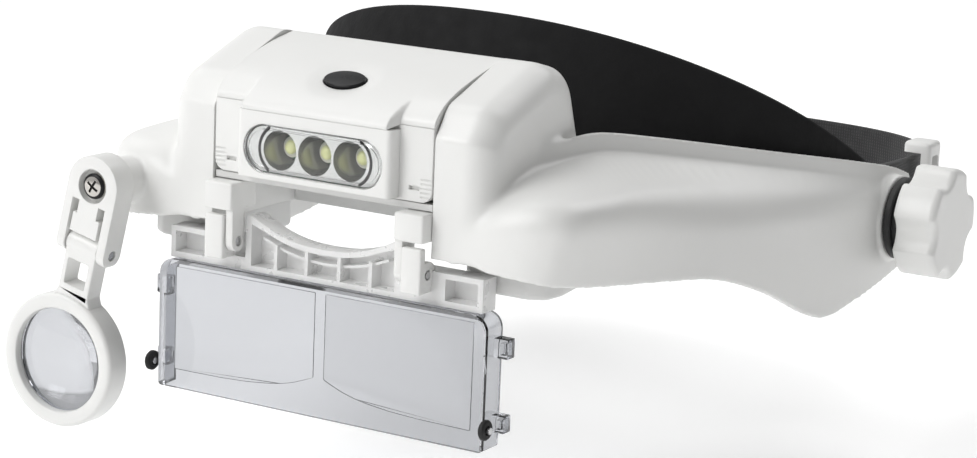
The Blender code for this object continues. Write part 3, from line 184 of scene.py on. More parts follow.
def woven(name, color, thread):
    """Woven cloth: two crossed waves raise the threads. The colour follows them too: painted shade in the hollows
    between threads and painted highlight on their tops.
    """
    material, tree, shader = new_material(name)
    place = add(tree, "TexCoord").outputs["Object"]
    wave = {"Vector": place, "Scale": 0.31 / thread, "Distortion": 1.2, "Detail Scale": 2.0}
    warp, weft = (add(tree, "TexWave", wave, bands_direction=axis).outputs["Fac"] for axis in "XZ")
    weave_and_painted_shade = add(tree, "Math", {0: warp, 1: weft}, operation="MULTIPLY").outputs["Value"]
    fill(tree, shader, {"Base Color": mottled(tree, weave_and_painted_shade, color, 0.55, 1.35)})
    fill(tree, shader, {"Roughness": remapped(tree, noise(tree, place, 0.004), 0.78, 0.95)})
    fill(tree, shader, {"Normal": raised(tree, weave_and_painted_shade, 0.5, 0.00025).outputs["Normal"]})
    fill(tree, shader, {"Sheen Weight": 0.15, "Sheen Roughness": 0.6})
    return material


PALE = (0.79, 0.79, 0.775)
LENS_SHADE = (0.86, 0.88, 0.92)
WHITE = surface("white_gloss_plastic", PALE, 0.33, mottle=0.012, edge=0.0004)
WHITE_SHELL = surface("white_shell_plastic", PALE, 0.36, mottle=0.012, edge=0.0005)
# Darker white for the under covers and battery tray: painted shade where the shell shadows the covers; the satin
# roughness is the plastic's own.
SHADED_SATIN_WHITE = surface("white_satin_painted_shade", (0.70, 0.70, 0.69), 0.48, edge=0.0003)
FROSTED = clear("milky_plastic", (0.87, 0.87, 0.865), (0.55, 0.55, 0.55), roughness=0.34, milk=0.80)
PLATE_CLEAR = clear("lens_plate_plastic", (0.54, 0.55, 0.575), LENS_SHADE)
LOUPE_CLEAR = clear("loupe_lens_glass", (0.56, 0.57, 0.595), LENS_SHADE)
WINDOW_CLEAR = clear("lamp_window_plastic", (0.97, 0.98, 0.98), (0.95, 0.95, 0.95))
BAND_BLACK = surface(
    "band_black", (0.014, 0.014, 0.0145), 0.70, mottle=0.25, wear=0.08, grain=0.3, grain_size=0.0009, shine=0.10
)
SOFT_BLACK = surface("soft_black_plastic", (0.016, 0.016, 0.017), 0.5, mottle=0.2, grain=0.2, edge=0.0003)
RUBBER = surface("black_rubber", (0.012, 0.012, 0.012), 0.7, mottle=0.25, grain=0.3, edge=0.0003)
GLOSS_BLACK = surface(
    "gloss_black_plastic", (0.008, 0.008, 0.009), 0.30, mottle=0.1, grain=0.02, edge=0.0003, shine=0.2
)
STRAP_CLOTH = woven("strap_webbing", (0.017, 0.017, 0.018), 0.0009)
PAD_CLOTH = woven("pad_cloth", (0.030, 0.030, 0.033), 0.0006)
STEEL = surface("plated_steel", (0.56, 0.56, 0.57), 0.26, 1.0, wear=0.09, grain=0.05, edge=0.0002)
CHROME = surface("bright_chrome", (0.52, 0.50, 0.47), 0.12, 1.0, wear=0.04, grain=0.02, edge=0.00015)
BRASS = surface("contact_brass", (0.66, 0.48, 0.20), 0.30, 1.0, wear=0.08, grain=0.05)
REFLECTOR_SILVER = surface("reflector_silver", (0.62, 0.62, 0.61), 0.22, 0.9, grain=0.03, edge=0.0002)
# A darker, yellower copy of the reflector silver: painted shade inside the LED cups.
SHADED_CUP_SILVER = surface("reflector_cup_painted_shade", (0.38, 0.38, 0.33), 0.17, 0.9, wear=0.06, grain=0.03)
LED_BODY = surface("led_body", (0.70, 0.71, 0.60), 0.35, grain=0.03, edge=0.0001)
# The phosphor's faint glow is painted light: the LEDs are not switched on.
LED_PHOSPHOR_PAINTED_GLOW = surface("led_phosphor", (0.74, 0.76, 0.36), 0.30, mottle=0.1, grain=0.05, glow=0.10)
BOARD = surface("circuit_board", (0.03, 0.13, 0.05), 0.42, mottle=0.15, wear=0.08, grain=0.12, grain_size=0.001)
CELL_COAT = surface("cell_sleeve", (0.05, 0.065, 0.10), 0.32, mottle=0.15, wear=0.06, grain=0.03)
RED_LEAD = surface("red_insulation", (0.45, 0.015, 0.012), 0.5, mottle=0.1, grain=0.05)


# ---------------------------------------------------------------- curves and outlines
def quarter_turns(steps):
    """Angles from none to a quarter turn."""
    return [math.pi / 2 * step / steps for step in range(steps + 1)]


def eased(share):
    """A share between none and one, with a soft start and a soft end."""
    return share * share * (3 - 2 * share)


def arc(radius, start, steps, y=0.0, z=0.0):
    """Points of a half circle from a starting angle."""
    turns = [start + math.pi * step / steps for step in range(steps + 1)]
    return [(y + radius * math.cos(turn), z + radius * math.sin(turn)) for turn in turns]


def through(points, per_span=5):
    """A smooth curve through the points, as many times denser."""
    p = np.array([points[0], *points, points[-1]], float)
    curve = []
    for index in range(1, len(p) - 2):
        before, start, end, after = p[index - 1 : index + 3]
        slope = end - before
        bend = 2 * before - 5 * start + 4 * end - after
        twist = 3 * start - before - 3 * end + after
        for t in (step / per_span for step in range(per_span)):
            curve.append(0.5 * (2 * start + slope * t + bend * t**2 + twist * t**3))
    curve.append(p[-1])
    return [Vector(point) for point in curve]


def smooth(points, per_span=4):
    return [tuple(point) for point in through(points, per_span)]


def both_sides(half):
    """A half outline that starts on the plane of symmetry, with its mirror image before it."""
    return [(-x, z) for x, z in reversed(half)] + half[1:]


# ---------------------------------------------------------------- mesh helpers
def link(mesh, name):
    obj = bpy.data.objects.new(name, mesh)
    bpy.context.scene.collection.objects.link(obj)
    return obj


def mesh_object(name, bm):
    bmesh.ops.recalc_face_normals(bm, faces=bm.faces)
    mesh = bpy.data.meshes.new(name)
    bm.to_mesh(mesh)
    bm.free()
    return link(mesh, name)


def baked(obj):
    """The object's evaluated shape as a plain, welded mesh object; the original goes."""
    bpy.context.view_layer.update()
    graph = bpy.context.evaluated_depsgraph_get()
    mesh = bpy.data.meshes.new_from_object(obj.evaluated_get(graph), depsgraph=graph)
    bm = bmesh.new()
    bm.from_mesh(mesh)
    bmesh.ops.remove_doubles(bm, verts=bm.verts, dist=0.000002)
    bmesh.ops.recalc_face_normals(bm, faces=bm.faces)
    bm.to_mesh(mesh)
    bm.free()
    name = obj.name
    bpy.data.objects.remove(obj, do_unlink=True)
    return link(mesh, name)


def block(name, low, high):
    """A box between two corners."""
    low, high = Vector(low), Vector(high)
    bm = bmesh.new()
    size = Matrix.Diagonal((*(high - low), 1.0))
    bmesh.ops.create_cube(bm, size=1.0, matrix=Matrix.Translation((low + high) / 2) @ size)
    return mesh_object(name, bm)


def side_block(name, side, near, far, low_y, high_y, low_z, high_z):
    """A box on one side of the plane of symmetry, between two distances from it."""
    low_x, high_x = sorted((side * near, side * far))
    return block(name, (low_x, low_y, low_z), (high_x, high_y, high_z))


def rod(name, centre, axis, radius, length, steps=ROUND_STEPS):
    """A cylinder about an axis matrix, centred on a point."""
    bm = bmesh.new()
    place = Matrix.Translation(centre) @ axis
    bmesh.ops.create_cone(bm, cap_ends=True, segments=steps, radius1=radius, radius2=radius, depth=length, matrix=place)
    return mesh_object(name, bm)


def turned(name, profile, centre, axis, steps=ROUND_STEPS):
    """A closed (radius, height) profile turned about an axis; points on the axis become poles."""
    bm = bmesh.new()
    rings = []
    for radius, height in profile:
        if radius < 1e-7:
            rings.append([bm.verts.new((0, 0, height))])
            continue
        ring = []
        for step in range(steps):
            angle = 2 * math.pi * step / steps
            ring.append(bm.verts.new((radius * math.cos(angle), radius * math.sin(angle), height)))
        rings.append(ring)
    for ring, following in zip(rings, rings[1:] + rings[:1]):
        if len(ring) == 1 and len(following) == 1:
            continue
        for step in range(steps):
            after = (step + 1) % steps
            corners = [ring[step % len(ring)], ring[after % len(ring)]]
            corners += [following[after % len(following)], following[step % len(following)]]
            bm.faces.new(list(dict.fromkeys(corners)))
    obj = mesh_object(name, bm)
    obj.data.transform(Matrix.Translation(centre) @ axis)
    return obj


def rounded(corners, radius, steps=6):
    """A closed outline with its corners rounded; each corner is (x, y) or (x, y, its own radius)."""
    outline = []
    for index, corner in enumerate(corners):
        here = Vector(corner[:2])
        size = corner[2] if len(corner) > 2 else radius
        before = (Vector(corners[index - 1][:2]) - here).normalized()
        after = (Vector(corners[(index + 1) % len(corners)][:2]) - here).normalized()
        if size <= 0:
            outline.append(tuple(here))
            continue
        half = before.angle(after) / 2
        reach = size / math.tan(half)
        middle = here + (before + after).normalized() * (size / math.sin(half))
        first = here + before * reach - middle
        last = here + after * reach - middle
        turn = first.angle_signed(last)
        for step in range(steps + 1):
            arm = first.copy()
            arm.rotate(Matrix.Rotation(-turn * step / steps, 2))
            outline.append(tuple(middle + arm))
    return outline


def stadium(length, height, centre=(0, 0), steps=24):
    """A slot outline."""
    radius = height / 2
    reach = length / 2 - radius
    outline = []
    for side in (1, -1):
        for step in range(steps + 1):
            angle = math.pi * step / steps - math.pi / 2 + (0 if side > 0 else math.pi)
            outline.append((centre[0] + side * reach + radius * math.cos(angle), centre[1] + radius * math.sin(angle)))
    return outline


def oval(length, width, steps=72):
    turns = [2 * math.pi * step / steps for step in range(steps)]
    return [(length / 2 * math.cos(turn), width / 2 * math.sin(turn)) for turn in turns]


def extruded(name, outline, depth, matrix):
    """A flat outline extruded by depth, centred. The matrix sets its plane."""
    curve = bpy.data.curves.new(name, "CURVE")
    curve.dimensions = "2D"
    curve.fill_mode = "BOTH"
    curve.extrude = depth / 2
    spline = curve.splines.new("POLY")
    spline.points.add(len(outline) - 1)
    for point, (x, y) in zip(spline.points, outline):
        point.co = (x, y, 0.0, 1.0)
    spline.use_cyclic_u = True
    obj = baked(link(curve, name))
    obj.data.transform(matrix)
    return obj


def slab(name, outline, low, high, axis, *rows):
    """An outline extruded between two places along an axis; the rows turn it into its plane."""
    low, high = sorted((low, high))
    place = Matrix.Translation(Vector(axis) * ((low + high) / 2))
    return extruded(name, outline, high - low, place @ Matrix(rows).to_4x4())


def in_yz(name, outline, low, high):
    """An outline of (y, z) points extruded along X."""
    return slab(name, outline, low, high, (1, 0, 0), (0, 0, 1), (1, 0, 0), (0, 1, 0))


def in_xz(name, outline, low, high):
    """An outline of (x, z) points extruded along Y."""
    return slab(name, outline, low, high, (0, 1, 0), (1, 0, 0), (0, 0, -1), (0, 1, 0))


def in_xy(name, outline, low, high):
    """An outline of (x, y) points extruded along Z."""
    return slab(name, outline, low, high, (0, 0, 1), (1, 0, 0), (0, 1, 0), (0, 0, 1))


def combine(target, tools, operation, solver="EXACT"):
    """Applies a Boolean with each tool in turn and removes the tools."""
    for tool in tools:
        boolean = target.modifiers.new(operation.lower(), "BOOLEAN")
        boolean.operation = operation
        boolean.solver = solver
        boolean.object = tool
        target = baked(target)
        bpy.data.objects.remove(tool, do_unlink=True)
    return target


def cut(target, *tools, solver="EXACT"):
    return combine(target, tools, "DIFFERENCE", solver)


def join(target, *tools, solver="EXACT"):
    return combine(target, tools, "UNION", solver)


def bevelled(obj, width, segments=3, angle=40):
    """Rounds the edges sharper than an angle."""
    bevel = obj.modifiers.new("edge_radius", "BEVEL")
    bevel.width = width
    bevel.segments = segments
    bevel.limit_method = "ANGLE"
    bevel.angle_limit = math.radians(angle)
    return baked(obj)


def mirrored(obj, name):
    """A copy on the other side of the plane of symmetry."""
    mesh = obj.data.copy()
    mesh.transform(Matrix.Scale(-1, 4, (1, 0, 0)))
    mesh.flip_normals()
    return link(mesh, name)


def loft(name, rings, closed_ring=True):
    """Skins equal-length rings of points in order, and caps closed ones."""
    bm = bmesh.new()
    rows = [[bm.verts.new(point) for point in ring] for ring in rings]
    count = len(rows[0])
    last = count if closed_ring else count - 1
    for row, following in zip(rows, rows[1:]):
        for index in range(last):
            after = (index + 1) % count
            bm.faces.new((row[index], row[after], following[after], following[index]))
    if closed_ring:
        bm.faces.new(rows[0])
        bm.faces.new(rows[-1][::-1])
    return mesh_object(name, bm)


def shade(mesh, material, sharp=32):
    """Gives a mesh one material and smooth shading, except across edges sharper than an angle."""
    mesh.materials.clear()
    mesh.materials.append(material)
    mesh.shade_smooth()
    mesh.set_sharp_from_angle(angle=math.radians(sharp))


def finish(obj, name, material, body, *nodes, slot=None, sharp=32):
    """Names a piece, shades it and sets it on its body in place of CAD nodes."""
    obj.name = name
    obj.data.name = name
    shade(obj.data, material, sharp)
    obj.location = LAYOUT_TO_ROW
    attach(obj, body)
    if nodes:
        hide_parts(*nodes)
    return obj


# ---------------------------------------------------------------- visor shell
# Stations from the middle of the brow round the shoulder and back along the temple arm: the crease above the
# shelf, the corner where the shelf rolls over into the side, and the lower edge.
CREASE = [
    (0.0380, 0.0110, 0.0605),
    (0.0425, 0.0115, 0.0630),
    (0.0455, 0.0130, 0.0655),
    (0.0480, 0.0180, 0.0675),
    (0.0505, 0.0270, 0.0690),
    (0.0535, 0.0370, 0.0700),
    (0.0570, 0.0460, 0.0702),
    (0.0635, 0.0600, 0.0682),
    (0.0718, 0.0780, 0.0652),
    (0.0790, 0.0980, 0.0617),
    (0.0850, 0.1180, 0.0583),
    (0.0885, 0.1350, 0.0553),
    (0.0902, 0.1520, 0.0520),
    (0.0905, 0.1640, 0.0485),
]
SHOULDER = [
    (0.0380, 0.0004, 0.0545),
    (0.0460, -0.0006, 0.0575),
    (0.0560, -0.0008, 0.0610),
    (0.0650, 0.0010, 0.0630),
    (0.0715, 0.0060, 0.0630),
    (0.0745, 0.0170, 0.0625),
    (0.0768, 0.0320, 0.0615),
    (0.0800, 0.0480, 0.0595),
    (0.0845, 0.0680, 0.0565),
    (0.0885, 0.0900, 0.0540),
    (0.0910, 0.1120, 0.0515),
    (0.0920, 0.1340, 0.0495),
    (0.0922, 0.1520, 0.0470),
    (0.0922, 0.1690, 0.0430),
]
LOWER_EDGE = [
    (0.0380, 0.0003, 0.0462),
    (0.0460, -0.0004, 0.0457),
    (0.0540, 0.0002, 0.0450),
    (0.0600, 0.0016, 0.0443),
    (0.0650, 0.0050, 0.0434),
    (0.0690, 0.0130, 0.0424),
    (0.0730, 0.0270, 0.0412),
    (0.0775, 0.0420, 0.0402),
    (0.0825, 0.0600, 0.0382),
    (0.0868, 0.0800, 0.0318),
    (0.0900, 0.1000, 0.0228),
    (0.0915, 0.1130, 0.0206),
    (0.0920, 0.1420, 0.0243),
    (0.0921, 0.1640, 0.0285),
]
STRIP_FRONT = 0.0058
STRIP_REAR = 0.0036
BLOCK_END_RADIUS = 0.0075
VOXEL = 0.00055
FILLET_REACH = 0.0042
FILLET_NEAR = 0.040
FILLET_FAR = 0.062
FILLET_REAR = 0.058
ROLL_STEPS = 10


def arm_section(crease, shoulder, lower, strip):
    """Points of one station, from the top edge down the strip, over the shelf and down the side."""
    shelf = crease - shoulder
    side = lower - shoulder
    reach = min(0.45 * shelf.length, 0.45 * side.length, 0.0085)
    start = shoulder + shelf.normalized() * reach
    end = shoulder + side.normalized() * reach
    points = [crease + Vector((-0.0006, 0, strip)), crease]
    for t in (step / ROLL_STEPS for step in range(ROLL_STEPS + 1)):
        points.append(start * (1 - t) ** 2 + shoulder * (2 * t * (1 - t)) + end * t**2)
    points.append((end + lower) / 2)
    points.append(lower)
    return points


def make_arm():
    """The left fender and temple arm: a sheet thickened inwards."""
    rails = [through(CREASE), through(SHOULDER), through(LOWER_EDGE)]
    last = len(rails[0]) - 1
    rows = []
    for index, (crease, shoulder, lower) in enumerate(zip(*rails)):
        strip = STRIP_FRONT + (STRIP_REAR - STRIP_FRONT) * index / last
        rows.append(arm_section(crease, shoulder, lower, strip))
    arm = loft("arm", rows, closed_ring=False)
    middle = arm.data.polygons[len(arm.data.polygons) // 2]
    if middle.normal.x < 0:
        arm.data.flip_normals()
    thick = arm.modifiers.new("wall", "SOLIDIFY")
    thick.thickness = WALL
    thick.offset = -1.0
    return baked(arm)


def block_outline(inset=0.0, steps=8):
    """Side view (y, z) of the brow block, drawn in by an inset all round."""
    i = inset
    corners = [
        (i, 0.0465, 0.0),
        (i, 0.0766 - 0.4 * i, 0.0020),
        (0.0052 + 0.5 * i, 0.0842 - 0.8 * i, 0.0070),
        (0.0300, 0.0934 - i, 0.0080),
        (0.0415 - 0.6 * i, 0.0905 - i, 0.0070),
        (0.0490 - i, 0.0700, 0.0),
        (0.0490 - i, 0.0465, 0.0),
    ]
    return rounded(corners, 0.0, steps)


def make_block():
    """The solid brow block: its side outline lofted across, drawn in on quarter circles at the two ends."""
    stations = []
    for turn in quarter_turns(12):
        x = BLOCK_HALF_WIDTH - BLOCK_END_RADIUS * (1 - math.sin(turn))
        stations.append((x, BLOCK_END_RADIUS * (1 - math.cos(turn))))
    stations = [(-x, inset) for x, inset in reversed(stations)] + stations
    return loft("brow_block", [[(x, y, z) for y, z in block_outline(inset)] for x, inset in stations])


def coordinates(mesh):
    points = np.empty(len(mesh.vertices) * 3)
    mesh.vertices.foreach_get("co", points)
    return points.reshape(-1, 3)


def relax(mesh, weight, rounds, step=0.5, back=0.0):
    """Moves each point towards the mean of its neighbours by a weight, and a little back so as not to shrink."""
    points = coordinates(mesh)
    count = len(points)
    ends = np.empty(len(mesh.edges) * 2, np.int64)
    mesh.edges.foreach_get("vertices", ends)
    ends = ends.reshape(-1, 2)
    degree = np.bincount(ends.ravel(), minlength=count)[:, None]
    for _ in range(rounds):
        for share in (step, back):
            if not share:
                continue
            total = np.empty_like(points)
            for axis in range(3):
                column = points[:, axis]
                total[:, axis] = np.bincount(ends[:, 0], column[ends[:, 1]], count)
                total[:, axis] += np.bincount(ends[:, 1], column[ends[:, 0]], count)
            points += (total / degree - points) * share * weight[:, None]
    mesh.vertices.foreach_set("co", points.ravel())
    mesh.update()


def fillet_weight(mesh, first, second, reach):
    """One where a point lies on both surfaces, fading to none at a reach from either."""
    points = coordinates(mesh)
    trees = []
    for part in (first, second):
        trees.append(BVHTree.FromPolygons([v.co for v in part.vertices], [p.vertices for p in part.polygons]))
    weight = np.zeros(len(points))
    across = np.abs(points[:, 0])
    near = (across > FILLET_NEAR) & (across < FILLET_FAR) & (points[:, 1] < FILLET_REAR)
    for index in np.flatnonzero(near):
        place = Vector((abs(points[index, 0]), points[index, 1], points[index, 2]))
        far = max(tree.find_nearest(place)[3] for tree in trees)
        weight[index] = eased(max(0.0, 1 - far / reach))
    return weight


def make_shell():
    """Brow block, fenders and temple arms in one skin with soft fillets, hollowed out."""
    solid = make_block()
    arm = make_arm()
    boss = rod("loupe_boss", (LOUPE_X, -0.0013, LOUPE_Z), Y_AXIS, 0.0062, 0.0100)
    block_mesh = solid.data.copy()
    arm_mesh = arm.data.copy()
    pieces = [solid, arm, mirrored(arm, "arm_mirror"), boss]
    for side in (1, -1):
        pieces.append(rod("pivot_seat", (side * 0.0898, PIVOT_Y, PIVOT_Z), X_AXIS, 0.0118, 0.0062))
    bm = bmesh.new()
    for piece in pieces:
        bm.from_mesh(piece.data)
        bpy.data.objects.remove(piece, do_unlink=True)
    skin = bpy.data.meshes.new("visor_shell")
    bm.to_mesh(skin)
    bm.free()
    shell = link(skin, "shell_skin")
    remesh = shell.modifiers.new("skin", "REMESH")
    remesh.mode = "VOXEL"
    remesh.voxel_size = VOXEL
    shell = baked(shell)
    everywhere = np.ones(len(shell.data.vertices))
    relax(shell.data, everywhere, 3, 0.5, -0.52)
    relax(shell.data, fillet_weight(shell.data, block_mesh, arm_mesh, FILLET_REACH), 45)
    relax(shell.data, everywhere, 2, 0.5, -0.52)
    low = 0.0300
    hollow = [(y, z if z > 0.05 else low) for y, z in block_outline(WALL, 4)]
    tools = []
    for side in (1, -1):
        tools.append(in_yz("horn", hollow, side * (POCKET_HALF_WIDTH + WALL), side * (BLOCK_HALF_WIDTH - 0.0030)))
        tools.append(rod("pivot_bore", (side * 0.0900, PIVOT_Y, PIVOT_Z), X_AXIS, PIVOT_BORE, 0.0200))
    pocket = POCKET_HALF_WIDTH
    tools.append(block("pocket", (-pocket, -0.02, 0.030), (pocket, 0.0368, 0.120)))
    rear = [(0.0390, low), (0.0390, 0.0870), (0.0405, 0.0870), (0.0468, 0.0700), (0.0468, low)]
    tools.append(in_yz("rear_hollow", rear, -pocket, pocket))
    tools.append(rod("loupe_bore", (LOUPE_X, -0.0030, LOUPE_Z), Y_AXIS, LOUPE_BORE, 0.0160, BORE_STEPS))
    shell = cut(shell, *tools, solver="MANIFOLD")
    finish(shell, "shell_skin", WHITE_SHELL, "visor", "visor_shell", slot="white_shell", sharp=38)


make_shell()


# ---------------------------------------------------------------- lid and button
NOSE_HALF = 0.0232


def lid_profile(hood):
    """Outer line (y, z) of the lid from front to rear; a hood of 1 draws the front out over the lamp's nose."""
    plain = ((0.0002, 0.0789), (0.0006, 0.0805), (0.0024, 0.0825), (0.0056, 0.0848))
    drawn_out = ((-0.0042, 0.0778), (-0.0040, 0.0790), (-0.0020, 0.0809), (0.0030, 0.0836))
    line = [tuple(a + (b - a) * hood for a, b in zip(*pair)) for pair in zip(plain, drawn_out)]
    line += [(0.0120, 0.0875), (0.0220, 0.0904), (0.0300, 0.0921), (0.0336, 0.0925), (0.0352, 0.0921)]
    return smooth(line, 6)


HOOD_BLEND = 0.0015
DISH_RADIUS = 0.0108
DISH_DEPTH = 0.0011
LID_THICK = 0.0021


def make_lid():
    """The battery lid: a curved panel hooded over the lamp, with a shallow round dish pierced for the button."""
    across = 160
    rows = []
    for step in range(across + 1):
        x = LAMP_HALF * (2 * step / across - 1)
        hood = eased(min(max((NOSE_HALF - abs(x)) / HOOD_BLEND, 0), 1))
        rows.append([(x, y, z) for y, z in lid_profile(hood)])
    lid = loft("battery_lid", rows, closed_ring=False)
    if sum(face.normal.z for face in lid.data.polygons) < 0:
        lid.data.flip_normals()
    to_button = BUTTON_FRAME.inverted()
    inward = BUTTON_FRAME.to_3x3() @ Vector((0, 0, -1))
    for vertex in lid.data.vertices:
        local = to_button @ vertex.co
        away = Vector((local.x, local.y * 1.12)).length / DISH_RADIUS
        if away < 1:
            vertex.co += inward * (DISH_DEPTH * (1 - away * away) ** 1.5)
    thick = lid.modifiers.new("wall", "SOLIDIFY")
    thick.thickness = LID_THICK
    thick.offset = -1.0
    lid = baked(lid)
    lid = cut(lid, extruded("hole", oval(0.0126, 0.0082), 0.0120, BUTTON_FRAME))
    finish(lid, "lid_panel", WHITE, "lid", "battery_lid", slot="white_shell", sharp=40)
    rings = []
    for up, grow in ((-0.0036, 0.0011), (-0.0032, 0.0011), (-0.0032, 0), (0.0000, 0), (0.0002, -0.0002)):
        rings.append([(x, y, up) for x, y in oval(0.0120 + 2 * grow, 0.0076 + 2 * grow)])
    for share in (0.8, 0.55, 0.3, 0.1):
        rings.append([(x, y, 0.0002 + 0.0003 * (1 - share**2)) for x, y in oval(0.0116 * share, 0.0072 * share)])
    button = loft("button", rings)
    button.data.transform(BUTTON_FRAME)
    finish(button, "button_cap", GLOSS_BLACK, "button", "power_button", slot="black_gloss")


# ---------------------------------------------------------------- lamp
LATCH_SLOT_X = 0.0277
LATCH_SLOT_Z = 0.0636


def make_lamp_housing():
    """The front fascia: ribbed end blocks and a middle standing proud around a slotted window."""
    corners = [(-LAMP_HALF, LAMP_LOW, 0.003), (LAMP_HALF, LAMP_LOW, 0.003)]
    corners += [(LAMP_HALF, LAMP_HIGH + 0.002), (-LAMP_HALF, LAMP_HIGH + 0.002)]
    housing = bevelled(in_xz("housing", rounded(corners, 0.0), 0.0, 0.0078), 0.0005, 3, 60)
    top = LAMP_HIGH + 0.00025
    housing = cut(housing, block("top", (-LAMP_HALF - 0.01, -0.01, top), (LAMP_HALF + 0.01, 0.02, top + 0.01)))
    corners = [(-NOSE_HALF, 0.0040, 0), (-NOSE_HALF, LAMP_FRONT_Y, 0.0015)]
    corners += [(NOSE_HALF, LAMP_FRONT_Y, 0.0015), (NOSE_HALF, 0.0040, 0)]
    nose = in_xy("nose", rounded(corners, 0.0), LAMP_LOW + 0.0004, LAMP_HIGH - 0.00085)
    housing = join(housing, nose)
    wall = 0.0016
    tools = [block("inside", (-LAMP_HALF + wall, wall, LAMP_LOW + wall), (LAMP_HALF - wall, 0.0100, LAMP_HIGH - wall))]
    recess_low = (-NOSE_HALF + wall, LAMP_FRONT_Y + 0.0030, LAMP_LOW + 0.0020)
    tools.append(block("recess", recess_low, (NOSE_HALF - wall, 0.0020, LAMP_HIGH - 0.0030)))
    tools.append(in_xz("slot", stadium(0.0420, 0.0125, (0, LAMP_Z)), LAMP_FRONT_Y - 0.002, 0.0020))
    for side in (1, -1):
        low, high = LATCH_SLOT_X - 0.0015, LATCH_SLOT_X + 0.0015
        tools.append(side_block("latch", side, low, high, -0.001, 0.0009, LATCH_SLOT_Z - 0.0005, LATCH_SLOT_Z + 0.0005))
        for number in range(5):
            z = LAMP_LOW + 0.0012 + 0.0011 * number
            tools.append(side_block("rib", side, 0.0296, LAMP_HALF, -0.001, 0.00015, z, z + 0.0003))
    housing = cut(housing, *tools)
    finish(housing, "lamp_fascia", WHITE, "visor", "lamp_housing", slot="white_shell", sharp=40)


CUP_RADIUS = 0.0050
# Rings cut round the outer cups; their faces are painted black, a painted reflection of dark surroundings in the
# window's curved wall.
PAINTED_ARC_GROOVE = (0.0058, 0.0066)


def make_lamp():
    """Window, silver reflector with three cups, and the lamps on their board."""
    outer = stadium(0.0414, 0.0119, (0, LAMP_Z))
    window = bevelled(in_xz("window", outer, LAMP_FRONT_Y - 0.0003, LAMP_FRONT_Y + 0.0012), 0.0004, 3, 60)
    rim = in_xz("rim_hollow", stadium(0.0392, 0.0097, (0, LAMP_Z)), LAMP_FRONT_Y + 0.0005, LAMP_FRONT_Y + 0.0020)
    window = cut(window, rim)
    finish(window, "lamp_window_pane", WINDOW_CLEAR, "visor", "lamp_window", slot="clear_lens")
    front, back = LAMP_FRONT_Y + 0.0015, 0.0044
    body = in_xz("reflector", stadium(0.0408, 0.0113, (0, LAMP_Z)), front, back)
    depth = back - front
    for place in LED_PLACES:
        profile = [(0, -0.0002)]
        profile += [(CUP_RADIUS * math.sqrt(1 - 0.62 * s / 10), depth * s / 10 - 0.0002) for s in range(10)]
        profile += [(0.0030, depth + 0.0004), (0, depth + 0.0004)]
        body = cut(body, turned("cup", profile, (place, front, LAMP_Z), Y_AXIS))
    for side in (1, -1):
        low, high = PAINTED_ARC_GROOVE
        groove = [(low, -0.001), (high, -0.001), (high, 0.0030), (low, 0.0030)]
        groove = turned("groove", groove, (side * LED_SPACING, front, LAMP_Z), Y_AXIS)
        groove = cut(groove, side_block("inner", side, -0.01, LED_SPACING + 0.0030, -0.02, 0.02, 0.0, 0.1))
        body = cut(body, groove)
    finish(body, "reflector_body", REFLECTOR_SILVER, "visor", "reflector", slot="chrome", sharp=25)
    body.data.materials.append(SHADED_CUP_SILVER)
    body.data.materials.append(SOFT_BLACK)
    for face in body.data.polygons:
        middle = face.center
        nearest = min(LED_PLACES, key=lambda place: abs(middle.x - place))
        off = Vector((middle.x - nearest, middle.z - LAMP_Z)).length
        # Cup faces take the darker silver: painted shade in the cups.
        if off < CUP_RADIUS + 0.00003 and abs(face.normal.y) < 0.98:
            face.material_index = 1
        # Groove faces take soft black: a painted dark reflection, not a dark part.
        elif PAINTED_ARC_GROOVE[0] - 0.0001 < off < PAINTED_ARC_GROOVE[1] + 0.0001 and middle.y > front + 0.0001:
            face.material_index = 2
    for number, place in enumerate(LED_PLACES, 1):
        centre = (place, 0.0036, LAMP_Z)
        facing = Matrix.Rotation(math.radians(90), 4, "X")
        base = [(0, -0.0013), (0.0024, -0.0013), (0.0024, 0.0009), (0.0022, 0.0011), (0.0019, 0.0011)]
        base += [(0.0017, 0.0012), (0, 0.0012)]
        finish(turned("base", base, centre, facing), f"led_base_{number}", LED_BODY, "visor", f"led_{number}")
        dome = [(0.0016 * math.cos(a), 0.0013 + 0.0010 * math.sin(a)) for a in np.linspace(0, math.pi / 2, 9)]
        dome = [(0, 0.0013), *dome[:-1], (0, dome[-1][1])]
        finish(turned("dome", dome, centre, facing), f"led_dome_{number}", LED_PHOSPHOR_PAINTED_GLOW, "visor", slot="led_yellow")


make_lid()
make_lamp_housing()
make_lamp()


# ---------------------------------------------------------------- under covers
COVER_LOW = 0.0382
COVER_TOP = 0.0456
SCREW_X = 0.0480
SCREW_Y = 0.0240


